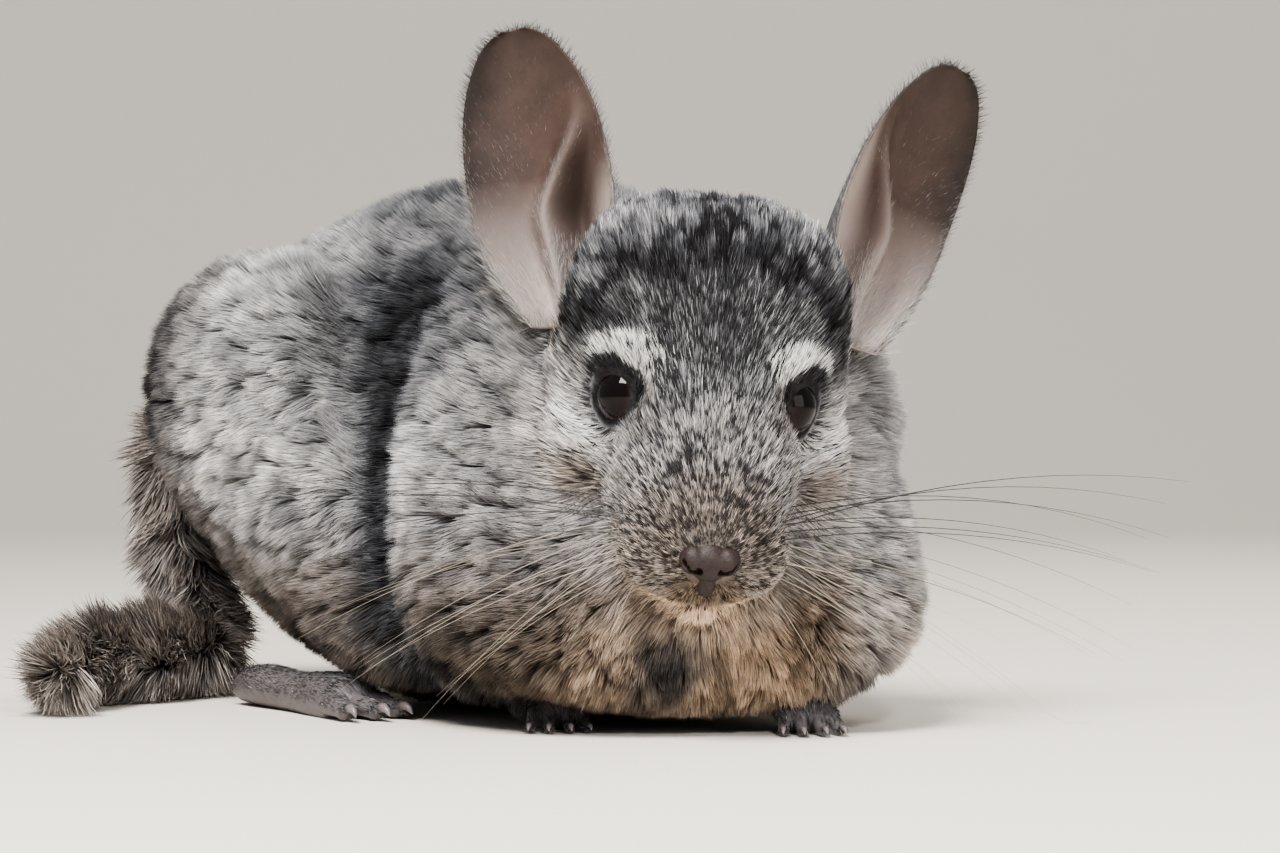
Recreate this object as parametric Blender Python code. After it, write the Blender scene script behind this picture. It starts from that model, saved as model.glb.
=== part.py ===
"""A crouching chinchilla at life size, built in metres with +Z up.

The body lies along +Y with its rump at the far end, and the head turns towards -X.
The origin is the middle of the flat where the belly rests on the floor.
"""

import math
import random

import bmesh
import bpy
from mathutils import Matrix, Vector
from mathutils.bvhtree import BVHTree

MM = 0.001

# Gap kept between neighbouring pieces, and how far a grown copy stands out to make it
GAP = 0.3 * MM
GROWN_BY = 0.36 * MM

# Head: the point midway between the eyes, and how the head turns, nods and leans
EYES_X, EYES_Y, EYES_Z = -24.7 * MM, -65.9 * MM, 64.2 * MM
HEAD_TURN = math.radians(35.0)
HEAD_NOD = math.radians(38.0)
HEAD_LEAN = math.radians(3.8)
EYE_AHEAD = 12.0 * MM
EYE_ABOVE = 4.0 * MM
EYE_HALF_SPREAD = 15.2 * MM
EYE_RADIUS = 6.2 * MM

# Ears: length from root to tip and greatest width
EAR_LENGTH = 60.0 * MM
EAR_WIDTH = 29.5 * MM
EAR_THICKNESS = 1.1 * MM

# Feet: how far each reaches from its heel or palm to the tips of its toes
HIND_FOOT_LENGTH = 56.0 * MM
FOREPAW_LENGTH = 20.0 * MM

FUR_GREY = (0.36, 0.36, 0.37)
FUR_DARK = (0.13, 0.13, 0.14)
SKIN_PINK = (0.46, 0.36, 0.34)
EYE_BLACK = (0.02, 0.013, 0.012)
PAW_GREY = (0.50, 0.48, 0.49)


def clear_scene():
    for obj in list(bpy.data.objects):
        bpy.data.objects.remove(obj, do_unlink=True)


def material(name, colour, roughness):
    made = bpy.data.materials.get(name)
    if made is None:
        made = bpy.data.materials.new(name)
        made.use_nodes = True
        shader = made.node_tree.nodes["Principled BSDF"]
        shader.inputs["Base Color"].default_value = (*colour, 1.0)
        shader.inputs["Roughness"].default_value = roughness
        shader.inputs["Metallic"].default_value = 0.0
    return made


def mesh_object(name, points, faces, matrix=None):
    mesh = bpy.data.meshes.new(name)
    mesh.from_pydata([tuple(p) for p in points], [], faces)
    if matrix is not None:
        mesh.transform(matrix)
    tidy = bmesh.new()
    tidy.from_mesh(mesh)
    bmesh.ops.recalc_face_normals(tidy, faces=tidy.faces)
    tidy.to_mesh(mesh)
    tidy.free()
    obj = bpy.data.objects.new(name, mesh)
    bpy.context.scene.collection.objects.link(obj)
    return obj


def remove(objects):
    for obj in objects:
        bpy.data.objects.remove(obj, do_unlink=True)


def bake_modifiers(obj):
    """Replaces the mesh by what its modifiers make of it."""
    graph = bpy.context.evaluated_depsgraph_get()
    graph.update()
    made = bpy.data.meshes.new_from_object(obj.evaluated_get(graph))
    obj.modifiers.clear()
    obj.data = made
    return obj


def boolean(base, others, operation):
    """Joins closed mesh objects to the base, or cuts them from it, and removes them."""
    if not others:
        return base
    group = bpy.data.collections.new("operands")
    bpy.context.scene.collection.children.link(group)
    for other in others:
        group.objects.link(other)
    step = base.modifiers.new("boolean", "BOOLEAN")
    step.operand_type = "COLLECTION"
    step.collection = group
    step.operation = operation
    step.solver = "EXACT"
    bake_modifiers(base)
    remove(others)
    bpy.data.collections.remove(group)
    return base


def keep_largest(obj):
    """Keeps only the largest closed surface of the mesh."""
    work = bmesh.new()
    work.from_mesh(obj.data)
    bmesh.ops.remove_doubles(work, verts=work.verts, dist=0.002 * MM)
    bmesh.ops.triangulate(work, faces=work.faces)
    unseen = set(work.faces)
    islands = []
    while unseen:
        front = [unseen.pop()]
        island = list(front)
        while front:
            face = front.pop()
            for edge in face.edges:
                if len(edge.link_faces) != 2:
                    continue
                for other in edge.link_faces:
                    if other in unseen:
                        unseen.remove(other)
                        front.append(other)
                        island.append(other)
        islands.append(island)

    def volume(faces):
        total = 0.0
        for face in faces:
            a, b, c = (v.co for v in face.verts)
            total += a.dot(b.cross(c)) / 6
        return total

    islands.sort(key=volume)
    dropped = [face for island in islands[:-1] for face in island]
    bmesh.ops.delete(work, geom=dropped, context="FACES")
    loose = [v for v in work.verts if not v.link_faces]
    bmesh.ops.delete(work, geom=loose, context="VERTS")
    work.to_mesh(obj.data)
    work.free()
    return obj


def copy_of(obj):
    twin = obj.copy()
    twin.data = obj.data.copy()
    bpy.context.scene.collection.objects.link(twin)
    return twin


def grown(objects, by=GROWN_BY):
    """Copies that stand out from the originals on every side, to cut a neighbour clear of them."""
    copies = []
    for obj in objects:
        twin = copy_of(obj)
        normals = [v.normal.copy() for v in twin.data.vertices]
        for vertex, normal in zip(twin.data.vertices, normals):
            vertex.co += normal * by
        copies.append(twin)
    return copies


def coarse(objects, share=0.42, by=0.62 * MM):
    """Grown copies with fewer faces, for the hidden walls between neighbours."""
    copies = grown(objects, by)
    for twin in copies:
        thin = twin.modifiers.new("thin", "DECIMATE")
        thin.ratio = share
        bake_modifiers(twin)
    return copies


def cut_below_floor(obj):
    """Cuts a flat where the piece rests."""
    deep, wide = 60 * MM, 400 * MM
    box = block((0, 0, -deep / 2), (wide, wide, deep))
    return boolean(obj, [box], "DIFFERENCE")


def block(centre, size):
    work = bmesh.new()
    scale = Matrix.Diagonal((*size, 1.0))
    bmesh.ops.create_cube(work, size=1.0, matrix=Matrix.Translation(centre) @ scale)
    return from_bmesh("block", work)


def from_bmesh(name, work, matrix=None):
    mesh = bpy.data.meshes.new(name)
    if matrix is not None:
        bmesh.ops.transform(work, matrix=matrix, verts=work.verts)
        bmesh.ops.recalc_face_normals(work, faces=work.faces)
    work.to_mesh(mesh)
    work.free()
    obj = bpy.data.objects.new(name, mesh)
    bpy.context.scene.collection.objects.link(obj)
    return obj


def ball(centre, radii, matrix=None, turns=(0.0, 0.0, 0.0), around=16, rings=10):
    """An ellipsoid, turned about its own axes before the matrix places it."""
    work = bmesh.new()
    spin = Matrix.Identity(4)
    for angle, axis in zip(turns, "XYZ"):
        spin = Matrix.Rotation(angle, 4, axis) @ spin
    own = Matrix.Translation(centre) @ spin @ Matrix.Diagonal((*radii, 1.0))
    bmesh.ops.create_uvsphere(work, u_segments=around, v_segments=rings, radius=1.0, matrix=own)
    return from_bmesh("ball", work, matrix)


def smooth_rows(rows, steps):
    """Rows of sizes with smooth rows between them (Catmull-Rom)."""
    made = []
    last = len(rows) - 1
    for i in range(last):
        before, a, b, after = rows[max(i - 1, 0)], rows[i], rows[i + 1], rows[min(i + 2, last)]
        for k in range(steps):
            t = k / steps
            row = []
            for p, q, r, s in zip(before, a, b, after):
                curve = 2 * q + (r - p) * t + (2 * p - 5 * q + 4 * r - s) * t * t
                row.append((curve + (3 * q - p - 3 * r + s) * t**3) / 2)
            made.append(row)
    made.append(list(rows[-1]))
    return made


def loft(name, rings, first_pole, last_pole, matrix=None):
    """A closed skin over rings of equally many points, ended by a pole at each end."""
    count = len(rings[0])
    points = [p for ring in rings for p in ring] + [first_pole, last_pole]
    start, end = len(points) - 2, len(points) - 1
    faces = []
    for i in range(len(rings) - 1):
        for k in range(count):
            a, b = i * count + k, i * count + (k + 1) % count
            faces.append((a, b, b + count, a + count))
    tail = (len(rings) - 1) * count
    for k in range(count):
        after = (k + 1) % count
        faces.append((start, after, k))
        faces.append((end, tail + k, tail + after))
    return mesh_object(name, points, faces, matrix)


def tube(name, centres, radii, sides=6, flat=1.0, up=Vector((0, 0, 1)), matrix=None):
    """A tapering round or flattened body along a line of centres, with a pole at each end."""
    rings = []
    for i, centre in enumerate(centres):
        ahead = centres[min(i + 1, len(centres) - 1)] - centres[max(i - 1, 0)]
        ahead.normalize()
        side = ahead.cross(up).normalized()
        top = side.cross(ahead).normalized()
        ring = []
        for k in range(sides):
            turn = 2 * math.pi * k / sides
            ring.append(centre + (side * math.cos(turn) + top * math.sin(turn) * flat) * radii[i])
        rings.append(ring)
    first = centres[0] - (centres[1] - centres[0]).normalized() * radii[0] * 0.6
    last = centres[-1] + (centres[-1] - centres[-2]).normalized() * radii[-1] * 0.8
    return loft(name, rings, first, last, matrix)


def fused(name, pieces, voxel, smoothing, triangles):
    """One smooth body out of overlapping closed pieces."""
    work = bmesh.new()
    for piece in pieces:
        work.from_mesh(piece.data)
    whole = from_bmesh(name, work)
    remove(pieces)
    remesh = whole.modifiers.new("skin", "REMESH")
    remesh.mode = "VOXEL"
    remesh.voxel_size = voxel
    soften = whole.modifiers.new("soften", "SMOOTH")
    soften.iterations = smoothing
    soften.factor = 0.5
    bake_modifiers(whole)
    work = bmesh.new()
    work.from_mesh(whole.data)
    bmesh.ops.triangulate(work, faces=work.faces)
    work.to_mesh(whole.data)
    work.free()
    thin = whole.modifiers.new("thin", "DECIMATE")
    thin.ratio = triangles / len(whole.data.polygons)
    bake_modifiers(whole)
    return whole


def finish(obj, name, made_of, smooth_to=35.0):
    """Names the node, gives it its material and shades it."""
    keep_largest(obj)
    obj.name = name
    obj.data.name = name
    obj.data.materials.clear()
    obj.data.materials.append(made_of)
    obj.data.shade_smooth()
    obj.data.set_sharp_from_angle(angle=math.radians(smooth_to))
    return obj


def heading(angle):
    """(forward, left) for a heading turned from -Y towards -X."""
    return Vector((-math.sin(angle), -math.cos(angle), 0)), Vector((math.cos(angle), -math.sin(angle), 0))


def head_frame():
    """The head's own axes: +X to the nose, +Y to the animal's left, +Z through the crown."""
    forward, left = heading(HEAD_TURN)
    up = Vector((0, 0, 1))
    nose = forward * math.cos(HEAD_NOD) - up * math.sin(HEAD_NOD)
    crown = forward * math.sin(HEAD_NOD) + up * math.cos(HEAD_NOD)
    lean = Matrix.Rotation(-HEAD_LEAN, 3, forward)
    axes = [lean @ nose, lean @ left, lean @ crown]
    eyes = Vector((EYES_X, EYES_Y, EYES_Z))
    middle = eyes - axes[0] * EYE_AHEAD - axes[2] * EYE_ABOVE
    turned = Matrix(axes).transposed().to_4x4()
    return Matrix.Translation(middle) @ turned


HEAD = head_frame()


def at(ahead, left, above):
    """A point in the head's own axes, given in millimetres."""
    return Vector((ahead, left, above)) * MM


# Locks of the coat

def surfaces(objects):
    """Search trees over closed meshes, to measure how far a point is outside them."""
    trees = []
    for obj in objects:
        corners = [v.co for v in obj.data.vertices]
        trees.append(BVHTree.FromPolygons(corners, [p.vertices for p in obj.data.polygons]))
    return trees


def clearance(point, trees):
    """The distance from a point to the nearest surface, negative inside it."""
    least = 1.0
    for tree in trees:
        spot, normal, _, distance = tree.find_nearest(point)
        least = min(least, math.copysign(distance, (point - spot).dot(normal)))
    return least


def march(start, way, steps, stride, tree):
    """Points along a surface from a start, with the surface normal at each."""
    spot, normal, _, _ = tree.find_nearest(start)
    found = [(spot, normal)]
    for _ in range(steps):
        way = (way - normal * way.dot(normal)).normalized()
        spot, normal, _, _ = tree.find_nearest(spot + way * stride)
        found.append((spot, normal))
    return found


def lock(start, way, length, width, thickness, lift, tree):
    """A flat tapered lock: rooted under the surface, it lies along it and ends just above it."""
    steps = 2
    track = march(start, way, steps, length * 0.4, tree)
    heights = [-1.9 * MM, lift * 0.75, lift]
    widths = [0.70, 1.0, 0.56]
    depths = [1.0, 0.95, 0.6]
    rings = []
    for k, (spot, normal) in enumerate(track):
        ahead = track[min(k + 1, steps)][0] - track[max(k - 1, 0)][0]
        side = ahead.cross(normal).normalized() * width / 2 * widths[k]
        rise = normal * thickness / 2 * depths[k]
        middle = spot + normal * heights[k]
        rings.append([middle + side, middle + rise, middle - side, middle - rise])
    root = rings[0][0].lerp(rings[0][2], 0.5) - (track[1][0] - track[0][0]).normalized() * 1.0 * MM
    tip = rings[-1][0].lerp(rings[-1][2], 0.5) + (track[-1][0] - track[-2][0]).normalized() * length * 0.22
    return loft("lock", rings, root, tip)


def coat_locks(form, starts, length, width, neighbours, dice):
    """Locks over a form, from (start, way) pairs, left out where they would reach a neighbour."""
    tree = surfaces([form])[0]
    made = []
    for start, way in starts:
        own_length = length * dice.uniform(0.85, 1.15)
        own_width = width * dice.uniform(0.85, 1.1)
        swing = Matrix.Rotation(math.radians(dice.uniform(-14, 14)), 3, tree.find_nearest(start)[1])
        piece = lock(start, swing @ way, own_length, own_width, 2.6 * MM, 1.5 * MM, tree)
        corners = [v.co for v in piece.data.vertices]
        lowest = min(p.z for p in corners)
        if lowest < 1.2 * MM or min(clearance(p, neighbours) for p in corners) < 1.2 * MM:
            remove([piece])
        else:
            made.append(piece)
    return made


# Body

def squared(angle, power):
    """A point on a circle pressed towards its corners."""
    c, s = math.cos(angle), math.sin(angle)
    return math.copysign(abs(c) ** power, c), math.copysign(abs(s) ** power, s)


def body_ring(row, points):
    """One ring of the body from (x, y, heading in degrees, half width, lowest, highest)."""
    x, y, turn, half_width, low, high = row
    _, left = heading(math.radians(turn))
    share_below = 0.42
    middle = Vector((x, y, low + (high - low) * share_below)) * MM
    ring = []
    for k in range(points):
        across, rise = squared(2 * math.pi * k / points, 0.9)
        width = half_width * (1 - 0.10 * rise) * MM
        reach = (high * MM - middle.z) if rise > 0 else (middle.z - low * MM)
        ring.append(middle + left * across * width + Vector((0, 0, rise * reach)))
    return ring


def torso_core():
    rows = [
        (-25, -68, 33, 25, 8, 33),
        (-21, -61, 33, 39, 2.5, 48),
        (-15, -50, 30, 48, 1.2, 68),
        (-8, -35, 22, 52.5, 0.3, 90),
        (-3, -17, 12, 52, -1.2, 105),
        (0, 2, 5, 47.5, -2.2, 111),
        (0, 20, 0, 45.5, -3.5, 112),
        (0, 42, 0, 47, -1, 111),
        (0, 62, 0, 46, 7, 107),
        (0, 80, 0, 41, 19, 99),
        (0, 94, 0, 30, 31, 86),
        (0, 102, 0, 17, 42, 72),
    ]
    rings = [body_ring(row, 24) for row in smooth_rows(rows, 2)]
    chest_end = Vector((-27, -72, 21)) * MM
    rump_end = Vector((0, 105, 57)) * MM
    return loft("torso", rings, chest_end, rump_end)


def torso_lock_starts(dice):
    """Where the trunk's locks grow: rows from the shoulders to the rump, over the back and sides."""
    starts = []
    for row in range(7):
        y = (-30 + 18.5 * row) * MM
        count = 7
        for k in range(count):
            share = (k + 0.5 * (row % 2) + 0.25) / count
            angle = math.radians(-28 + 236 * share)
            beside, above = math.cos(angle) * 70, 55 + math.sin(angle) * 75
            start = Vector((beside, y / MM + dice.uniform(-2, 2), above)) * MM
            way = Vector((math.cos(angle) * 0.15, 1.0, -0.35 * abs(math.cos(angle))))
            starts.append((start, way))
    return starts


def haunch_lock_starts(side, dice):
    starts = []
    for row in range(4):
        for k in range(4):
            y = 17 + 18.5 * row + dice.uniform(-2, 2)
            z = 28 + 17 * k + 4 * (row % 2) + 5 * row * (k == 0)
            starts.append((Vector((side * 75, y, z)) * MM, Vector((side * 0.1, 1.0, -0.45))))
    return starts


def neck_core():
    """The thick collar of fur between the skull and the shoulders."""
    middle = Vector((-1, -28, 59)) * MM
    turn = Matrix.Rotation(math.radians(-30), 4, "Z")
    radii = (44 * MM, 25 * MM, 43 * MM)
    return ball((0, 0, 0), radii, Matrix.Translation(middle) @ turn, around=18, rings=10)


def haunch_core(side):
    """The thigh under its coat: full at the rump, with the knee low and forward."""
    thigh = ball(
        Vector((side * 31, 55, 61)) * MM, (26 * MM, 44 * MM, 36 * MM),
        turns=(math.radians(24), 0, side * math.radians(-4)), around=28, rings=20,
    )
    shin = ball(
        Vector((side * 32, 34, 44)) * MM, (24 * MM, 38 * MM, 28 * MM),
        turns=(math.radians(30), 0, 0), around=24, rings=16,
    )
    knee = ball(
        Vector((side * 35, 19, 27)) * MM, (19 * MM, 29 * MM, 21 * MM),
        turns=(math.radians(33), 0, 0), around=24, rings=16,
    )
    return fused("haunch form", [thigh, shin, knee], 2.2 * MM, 10, 500)


def hind_foot_core(side):
    """The long sole, its toes with their claws, and the heel."""
    splay = math.radians(8)
    ahead = Vector((side * math.sin(splay), -math.cos(splay), 0))
    heel = Vector((side * 40 * MM, 60 * MM, 0))
    # share of the foot's length, half width and height
    rows = [(0, 4.2, 5.0), (0.143, 5.4, 5.6), (0.393, 5.2, 5.0), (0.607, 6.4, 4.8), (0.75, 6.8, 4.4)]
    centres = [heel + ahead * r[0] * HIND_FOOT_LENGTH + Vector((0, 0, (r[2] - 1.2) * MM)) for r in rows]
    sole = tube("sole", centres, [r[1] * MM for r in rows], sides=10, flat=0.82)
    across = ahead.cross(Vector((0, 0, 1)))
    toes = []
    for place, length in ((-4.6, 11.5), (0.0, 14.0), (4.6, 12.0)):
        root = centres[-1] + across * place * MM - ahead * 1.5 * MM
        toes.append(toe(root, ahead, across * place * 0.03, length * MM, 2.3 * MM))
    small = centres[-2] - across * side * -6.0 * MM
    toes.append(toe(small, ahead, across * side * 0.2, 7.5 * MM, 1.6 * MM))
    return sole, toes


def toe(root, ahead, lean, length, radius):
    """A toe that arches forward from its root and comes down on its pad, with a blunt claw."""
    way = (ahead + lean).normalized()
    shares = [0.0, 0.3, 0.62, 0.9]
    heights = [root.z, root.z * 0.95, radius * 1.1, radius * 0.9]
    widths = [1.0, 1.02, 0.92, 0.78]
    centres = []
    for share, height in zip(shares, heights):
        point = root + way * length * share
        point.z = height
        centres.append(point)
    digit = tube("toe", centres, [radius * w for w in widths], sides=5)
    tip = centres[-1] + way * radius * 0.5 + Vector((0, 0, radius * 0.35))
    down = Vector((0, 0, -radius))
    claw_line = [tip, tip + way * radius * 0.9 + down * 0.1, tip + way * radius * 1.5 + down * 0.6]
    claw = tube("claw", claw_line, [radius * 0.42, radius * 0.34, radius * 0.16], sides=4)
    return digit, claw


def forepaw_core(place, way):
    """A small hand: a palm and four toes spread a little, each with its claw."""
    across = way.cross(Vector((0, 0, 1)))
    palm_middle = place + Vector((0, 0, 4.2 * MM))
    turn = Matrix(((way.x, -across.x, 0), (way.y, -across.y, 0), (0, 0, 1))).to_4x4()
    radii = (FOREPAW_LENGTH * 0.36, 5.9 * MM, 4.6 * MM)
    palm = ball((0, 0, 0), radii, Matrix.Translation(palm_middle) @ turn, around=12, rings=8)
    toes = []
    for place_across, share in ((-4.2, 0.43), (-1.45, 0.51), (1.45, 0.51), (4.2, 0.43)):
        root = palm_middle + across * place_across * MM + way * FOREPAW_LENGTH * 0.13
        toes.append(toe(root, way, across * place_across * 0.045, FOREPAW_LENGTH * share, 1.35 * MM))
    return palm, toes


def foreleg_core(elbow, paw):
    """The short forearm, thick in its fur at the elbow and slim at the wrist."""
    wrist = paw + Vector((0, 0, 7.0 * MM))
    middle = (elbow + wrist) / 2 + Vector((0, 0, -1.5 * MM))
    line = [elbow, (elbow + middle) / 2, middle, (middle + wrist) / 2, wrist]
    radii = [r * MM for r in (12.5, 11.5, 9.6, 7.6, 6.0)]
    return tube("foreleg", line, radii, sides=14, up=Vector((1, 0.2, 0)))


# Tail

TAIL_LINE = [
    (-3, 92, 58), (-11, 106, 60), (-21.5, 110.5, 53), (-25, 106, 37), (-26.5, 97.5, 21), (-33, 88, 11.5),
    (-47, 82, 10), (-62, 79, 10), (-76, 72, 9.5), (-88, 61, 9),
]
TAIL_RADII = [6.2, 6.6, 7.0, 7.2, 7.4, 7.6, 7.8, 7.4, 6.2, 4.2]


def tail_core(first, last, name):
    rows = [(*p, r) for p, r in zip(TAIL_LINE, TAIL_RADII)]
    smooth = smooth_rows(rows, 2)[first * 2 : last * 2 + 1]
    line = [Vector(row[:3]) * MM for row in smooth]
    up = Vector((0.6, 0.6, 1)).normalized()
    return tube(name, line, [row[3] * MM for row in smooth], sides=10, up=up)


def tail_locks(first, last, neighbours, dice):
    """The brush of the tail: slim locks all round that stand out a little towards the tip."""
    rows = smooth_rows([(*p, r) for p, r in zip(TAIL_LINE, TAIL_RADII)], 2)
    made = []
    for i in range(first, last, 2):
        here, ahead = Vector(rows[i][:3]) * MM, Vector(rows[min(i + 2, len(rows) - 1)][:3]) * MM
        way = (ahead - here).normalized()
        if i + 2 > len(rows) - 1:
            way = (here - Vector(rows[i - 2][:3]) * MM).normalized()
        side = way.cross(Vector((0, 0, 1))).normalized()
        top = side.cross(way)
        count = 4
        for k in range(count):
            turn = 2 * math.pi * (k + 0.5 * (i % 4 == 0)) / count + dice.uniform(-0.2, 0.2)
            out = side * math.cos(turn) + top * math.sin(turn)
            radius = rows[i][3] * MM
            length = dice.uniform(15, 19) * MM
            line = [
                here + out * (radius - 2.6 * MM),
                here + out * (radius + 0.4 * MM) + way * length * 0.35,
                here + out * (radius + 1.9 * MM) + way * length * 0.7,
                here + out * (radius + 2.6 * MM) + way * length,
            ]
            low = 1.6 * MM
            if min(p.z for p in line) < low or min(clearance(p, neighbours) for p in line) < 1.5 * MM:
                continue
            widths = [2.6 * MM, 3.1 * MM, 2.1 * MM, 0.6 * MM]
            made.append(tube("lock", line, widths, sides=4, flat=0.42, up=out))
    return made


# Head

HEAD_ROWS = [
    # ahead, half width, crown line, throat line, how much narrower above, roundness
    (-35, 14, 14, -13, 0.06, 0.80),
    (-31, 21, 24, -20, 0.07, 0.72),
    (-21, 27, 32.5, -27, 0.06, 0.62),
    (-9, 29.5, 35.5, -30.5, 0.07, 0.58),
    (0, 28.2, 33.5, -31.5, 0.10, 0.62),
    (7, 25.2, 28.4, -31, 0.15, 0.70),
    (13, 21.4, 22.2, -30, 0.18, 0.80),
    (20, 18.6, 15.8, -29, 0.16, 0.86),
    (27, 16.8, 10.0, -28, 0.12, 0.86),
    (34, 14.6, 4.6, -26.5, 0.10, 0.86),
    (40, 11.4, -0.4, -23.5, 0.08, 0.9),
    (44, 7.6, -4.0, -19, 0.05, 0.95),
]


def head_loft():
    rings = []
    for ahead, half_width, crown, throat, narrowing, roundness in smooth_rows(HEAD_ROWS, 2):
        middle = (crown + throat) / 2
        half_height = (crown - throat) / 2
        ring = []
        for k in range(28):
            across, rise = squared(2 * math.pi * k / 28, roundness)
            width = half_width * (1 - narrowing * rise)
            ring.append(at(ahead, across * width, middle + rise * half_height))
        rings.append(ring)
    nape = Vector((-36, 0, 0)) * MM
    muzzle = Vector((46.4, 0, -11)) * MM
    return loft("skull", rings, nape, muzzle)


def head_core():
    pieces = [head_loft()]
    for side in (1, -1):
        pieces.append(ball(at(33.5, side * 8.4, -13.5), (10 * MM, 8.2 * MM, 9.2 * MM)))
        pieces.append(ball(at(3, side * 18.5, -14), (17 * MM, 11.5 * MM, 15 * MM)))
        pieces.append(ball(at(6.5, side * 13.0, 13), (9 * MM, 7.0 * MM, 6.0 * MM)))
    pieces.append(ball(at(35.5, 0, -24), (7 * MM, 7.5 * MM, 5.2 * MM)))
    head = fused("head form", pieces, 1.5 * MM, 8, 1450)
    head.data.transform(HEAD)
    return head


def eye_centre(side):
    return HEAD @ at(10.5, side * EYE_HALF_SPREAD / MM, EYE_ABOVE / MM)


def eye_outlook(side):
    """The way the eye looks: well to the side, level with the floor."""
    forward, left = heading(HEAD_TURN)
    lean = Matrix.Rotation(-HEAD_LEAN, 3, forward)
    sideways = math.radians(54)
    return (lean @ (forward * math.cos(sideways) + left * side * math.sin(sideways))).normalized()


def eyeball(side, radius=EYE_RADIUS):
    look = eye_outlook(side).to_track_quat("Z", "Y").to_matrix().to_4x4()
    placed = Matrix.Translation(eye_centre(side)) @ look
    return ball((0, 0, 0), (radius,) * 3, placed, around=14, rings=9)


def lid_ring(side):
    """The rim of the upper and lower lids round the eye."""
    look = eye_outlook(side)
    up = (Vector((0, 0, 1)) - look * look.z).normalized()
    across = look.cross(up)
    ring_out, rim = 5.9 * MM, 1.25 * MM
    centre = eye_centre(side) + look * 2.6 * MM
    steps, sides = 18, 5
    points, faces = [], []
    for i in range(steps):
        turn = 2 * math.pi * i / steps
        out = across * math.cos(turn) * 0.86 + up * math.sin(turn)
        middle = centre + out * ring_out
        for k in range(sides):
            angle = 2 * math.pi * k / sides
            points.append(middle + (out.normalized() * math.cos(angle) + look * math.sin(angle)) * rim)
    for i in range(steps):
        for k in range(sides):
            a, b = i * sides + k, i * sides + (k + 1) % sides
            c, d = ((i + 1) % steps) * sides + (k + 1) % sides, ((i + 1) % steps) * sides + k
            faces.append((a, b, c, d))
    return mesh_object("lids", points, faces)


def nose_pad():
    return ball(at(43.6, 0, -8.6), (4.6 * MM, 5.4 * MM, 4.6 * MM), HEAD, around=12, rings=8)


def nostril(side):
    turns = (math.radians(side * 24), math.radians(-20), math.radians(side * 28))
    radii = (2.6 * MM, 1.9 * MM, 1.0 * MM)
    return ball(at(47.0, side * 2.9, -9.2), radii, HEAD, turns=turns, around=12, rings=8)


def groove(points, radius):
    line = [HEAD @ at(*p) for p in points]
    return tube("groove", line, [radius] * len(line), sides=6)


def philtrum():
    """The cleft from the nose down to the upper lip."""
    return groove([(49.2, 0, -9), (48.2, 0, -13), (46.6, 0, -16), (44.6, 0, -18.5)], 0.55 * MM)


def mouth_line():
    """The line between the lips, from one corner of the mouth to the other."""
    rows = []
    for k in range(-5, 6):
        share = k / 5
        across = 9.5 * math.sin(share * math.pi / 2)
        rows.append((43.6 - 8.5 * share * share, across, -19.6 - 2.2 * share * share))
    return groove(rows, 0.6 * MM)


def whiskers(neighbours):
    """Stiff whiskers from both pads, long and level above, shorter and drooping below."""
    made = []
    for side in (1, -1):
        for row in range(4):
            for column in range(3):
                share = row / 3
                root = at(36 - 3.4 * column, side * (12.4 + 0.9 * column), -8 - 3.4 * row)
                length = (104 - 52 * share - 9 * (2 - column)) * MM
                lift = math.radians(16 - 44 * share - 4 * column)
                back = math.radians(16 + 8 * column - 4 * row)
                line = whisker_line(root, side, length, lift, back)
                while min(clearance(p, neighbours) for p in line[1:]) < 3.6 * MM and back > -1.0:
                    back -= math.radians(4)
                    line = whisker_line(root, side, length, lift, back)
                made.append(tube("whisker", line, [(0.42 - 0.2 * k / 5) * MM for k in range(6)], sides=3))
    return made


def whisker_line(root, side, length, lift, back):
    """A whisker leaves its pad sideways, sweeps back and droops at its tip."""
    start = HEAD @ root
    forward, left = heading(HEAD_TURN)
    out = left * side
    way = (out * math.cos(back) - forward * math.sin(back)) * math.cos(lift) + Vector((0, 0, math.sin(lift)))
    line = []
    for k in range(6):
        share = k / 5
        droop = Vector((0, 0, -0.16 * length * share * share))
        sweep = -forward * 0.08 * length * share * share
        point = start - way * 3 * MM * (1 - share) + way * length * share + droop + sweep
        point.z = max(point.z, 2.0 * MM + 6 * MM * (1 - share))
        line.append(point)
    return line


# Ears

EAR_ROWS = [
    # share of the length, half width as a share of the widest, dish, fold, place of the fold
    (0.00, 0.36, 6.0, 3.0, 0.10),
    (0.10, 0.58, 7.2, 5.4, 0.10),
    (0.24, 0.85, 7.5, 7.0, 0.04),
    (0.38, 0.985, 6.8, 7.0, 0.00),
    (0.50, 1.00, 5.6, 5.6, 0.22),
    (0.61, 0.98, 4.8, 3.4, 0.50),
    (0.71, 0.92, 4.2, 1.2, 0.70),
    (0.81, 0.80, 3.4, 0.0, 0.80),
    (0.88, 0.665, 2.6, 0.0, 0.80),
    (0.94, 0.50, 1.8, 0.0, 0.80),
    (0.975, 0.33, 1.2, 0.0, 0.80),
    (0.995, 0.14, 0.6, 0.0, 0.80),
]


def ear_point(row, v, side):
    """A point of the ear's hollow face. v runs from -1 at the outer rim to +1 at the inner rim."""
    share, half_width, dish, fold, place = row
    ridge = fold * math.exp(-(((v - place) / 0.20) ** 2))
    pocket = fold * 0.8 * math.exp(-(((v - place - 0.45) / 0.28) ** 2)) * (1 - v * v)
    forward = (ridge - pocket - dish * (1 - v * v)) * MM
    bow = 3.0 * MM * math.sin(math.pi * share)
    return Vector((v * half_width * EAR_WIDTH / 2 * side, forward - bow, share * EAR_LENGTH))


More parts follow.
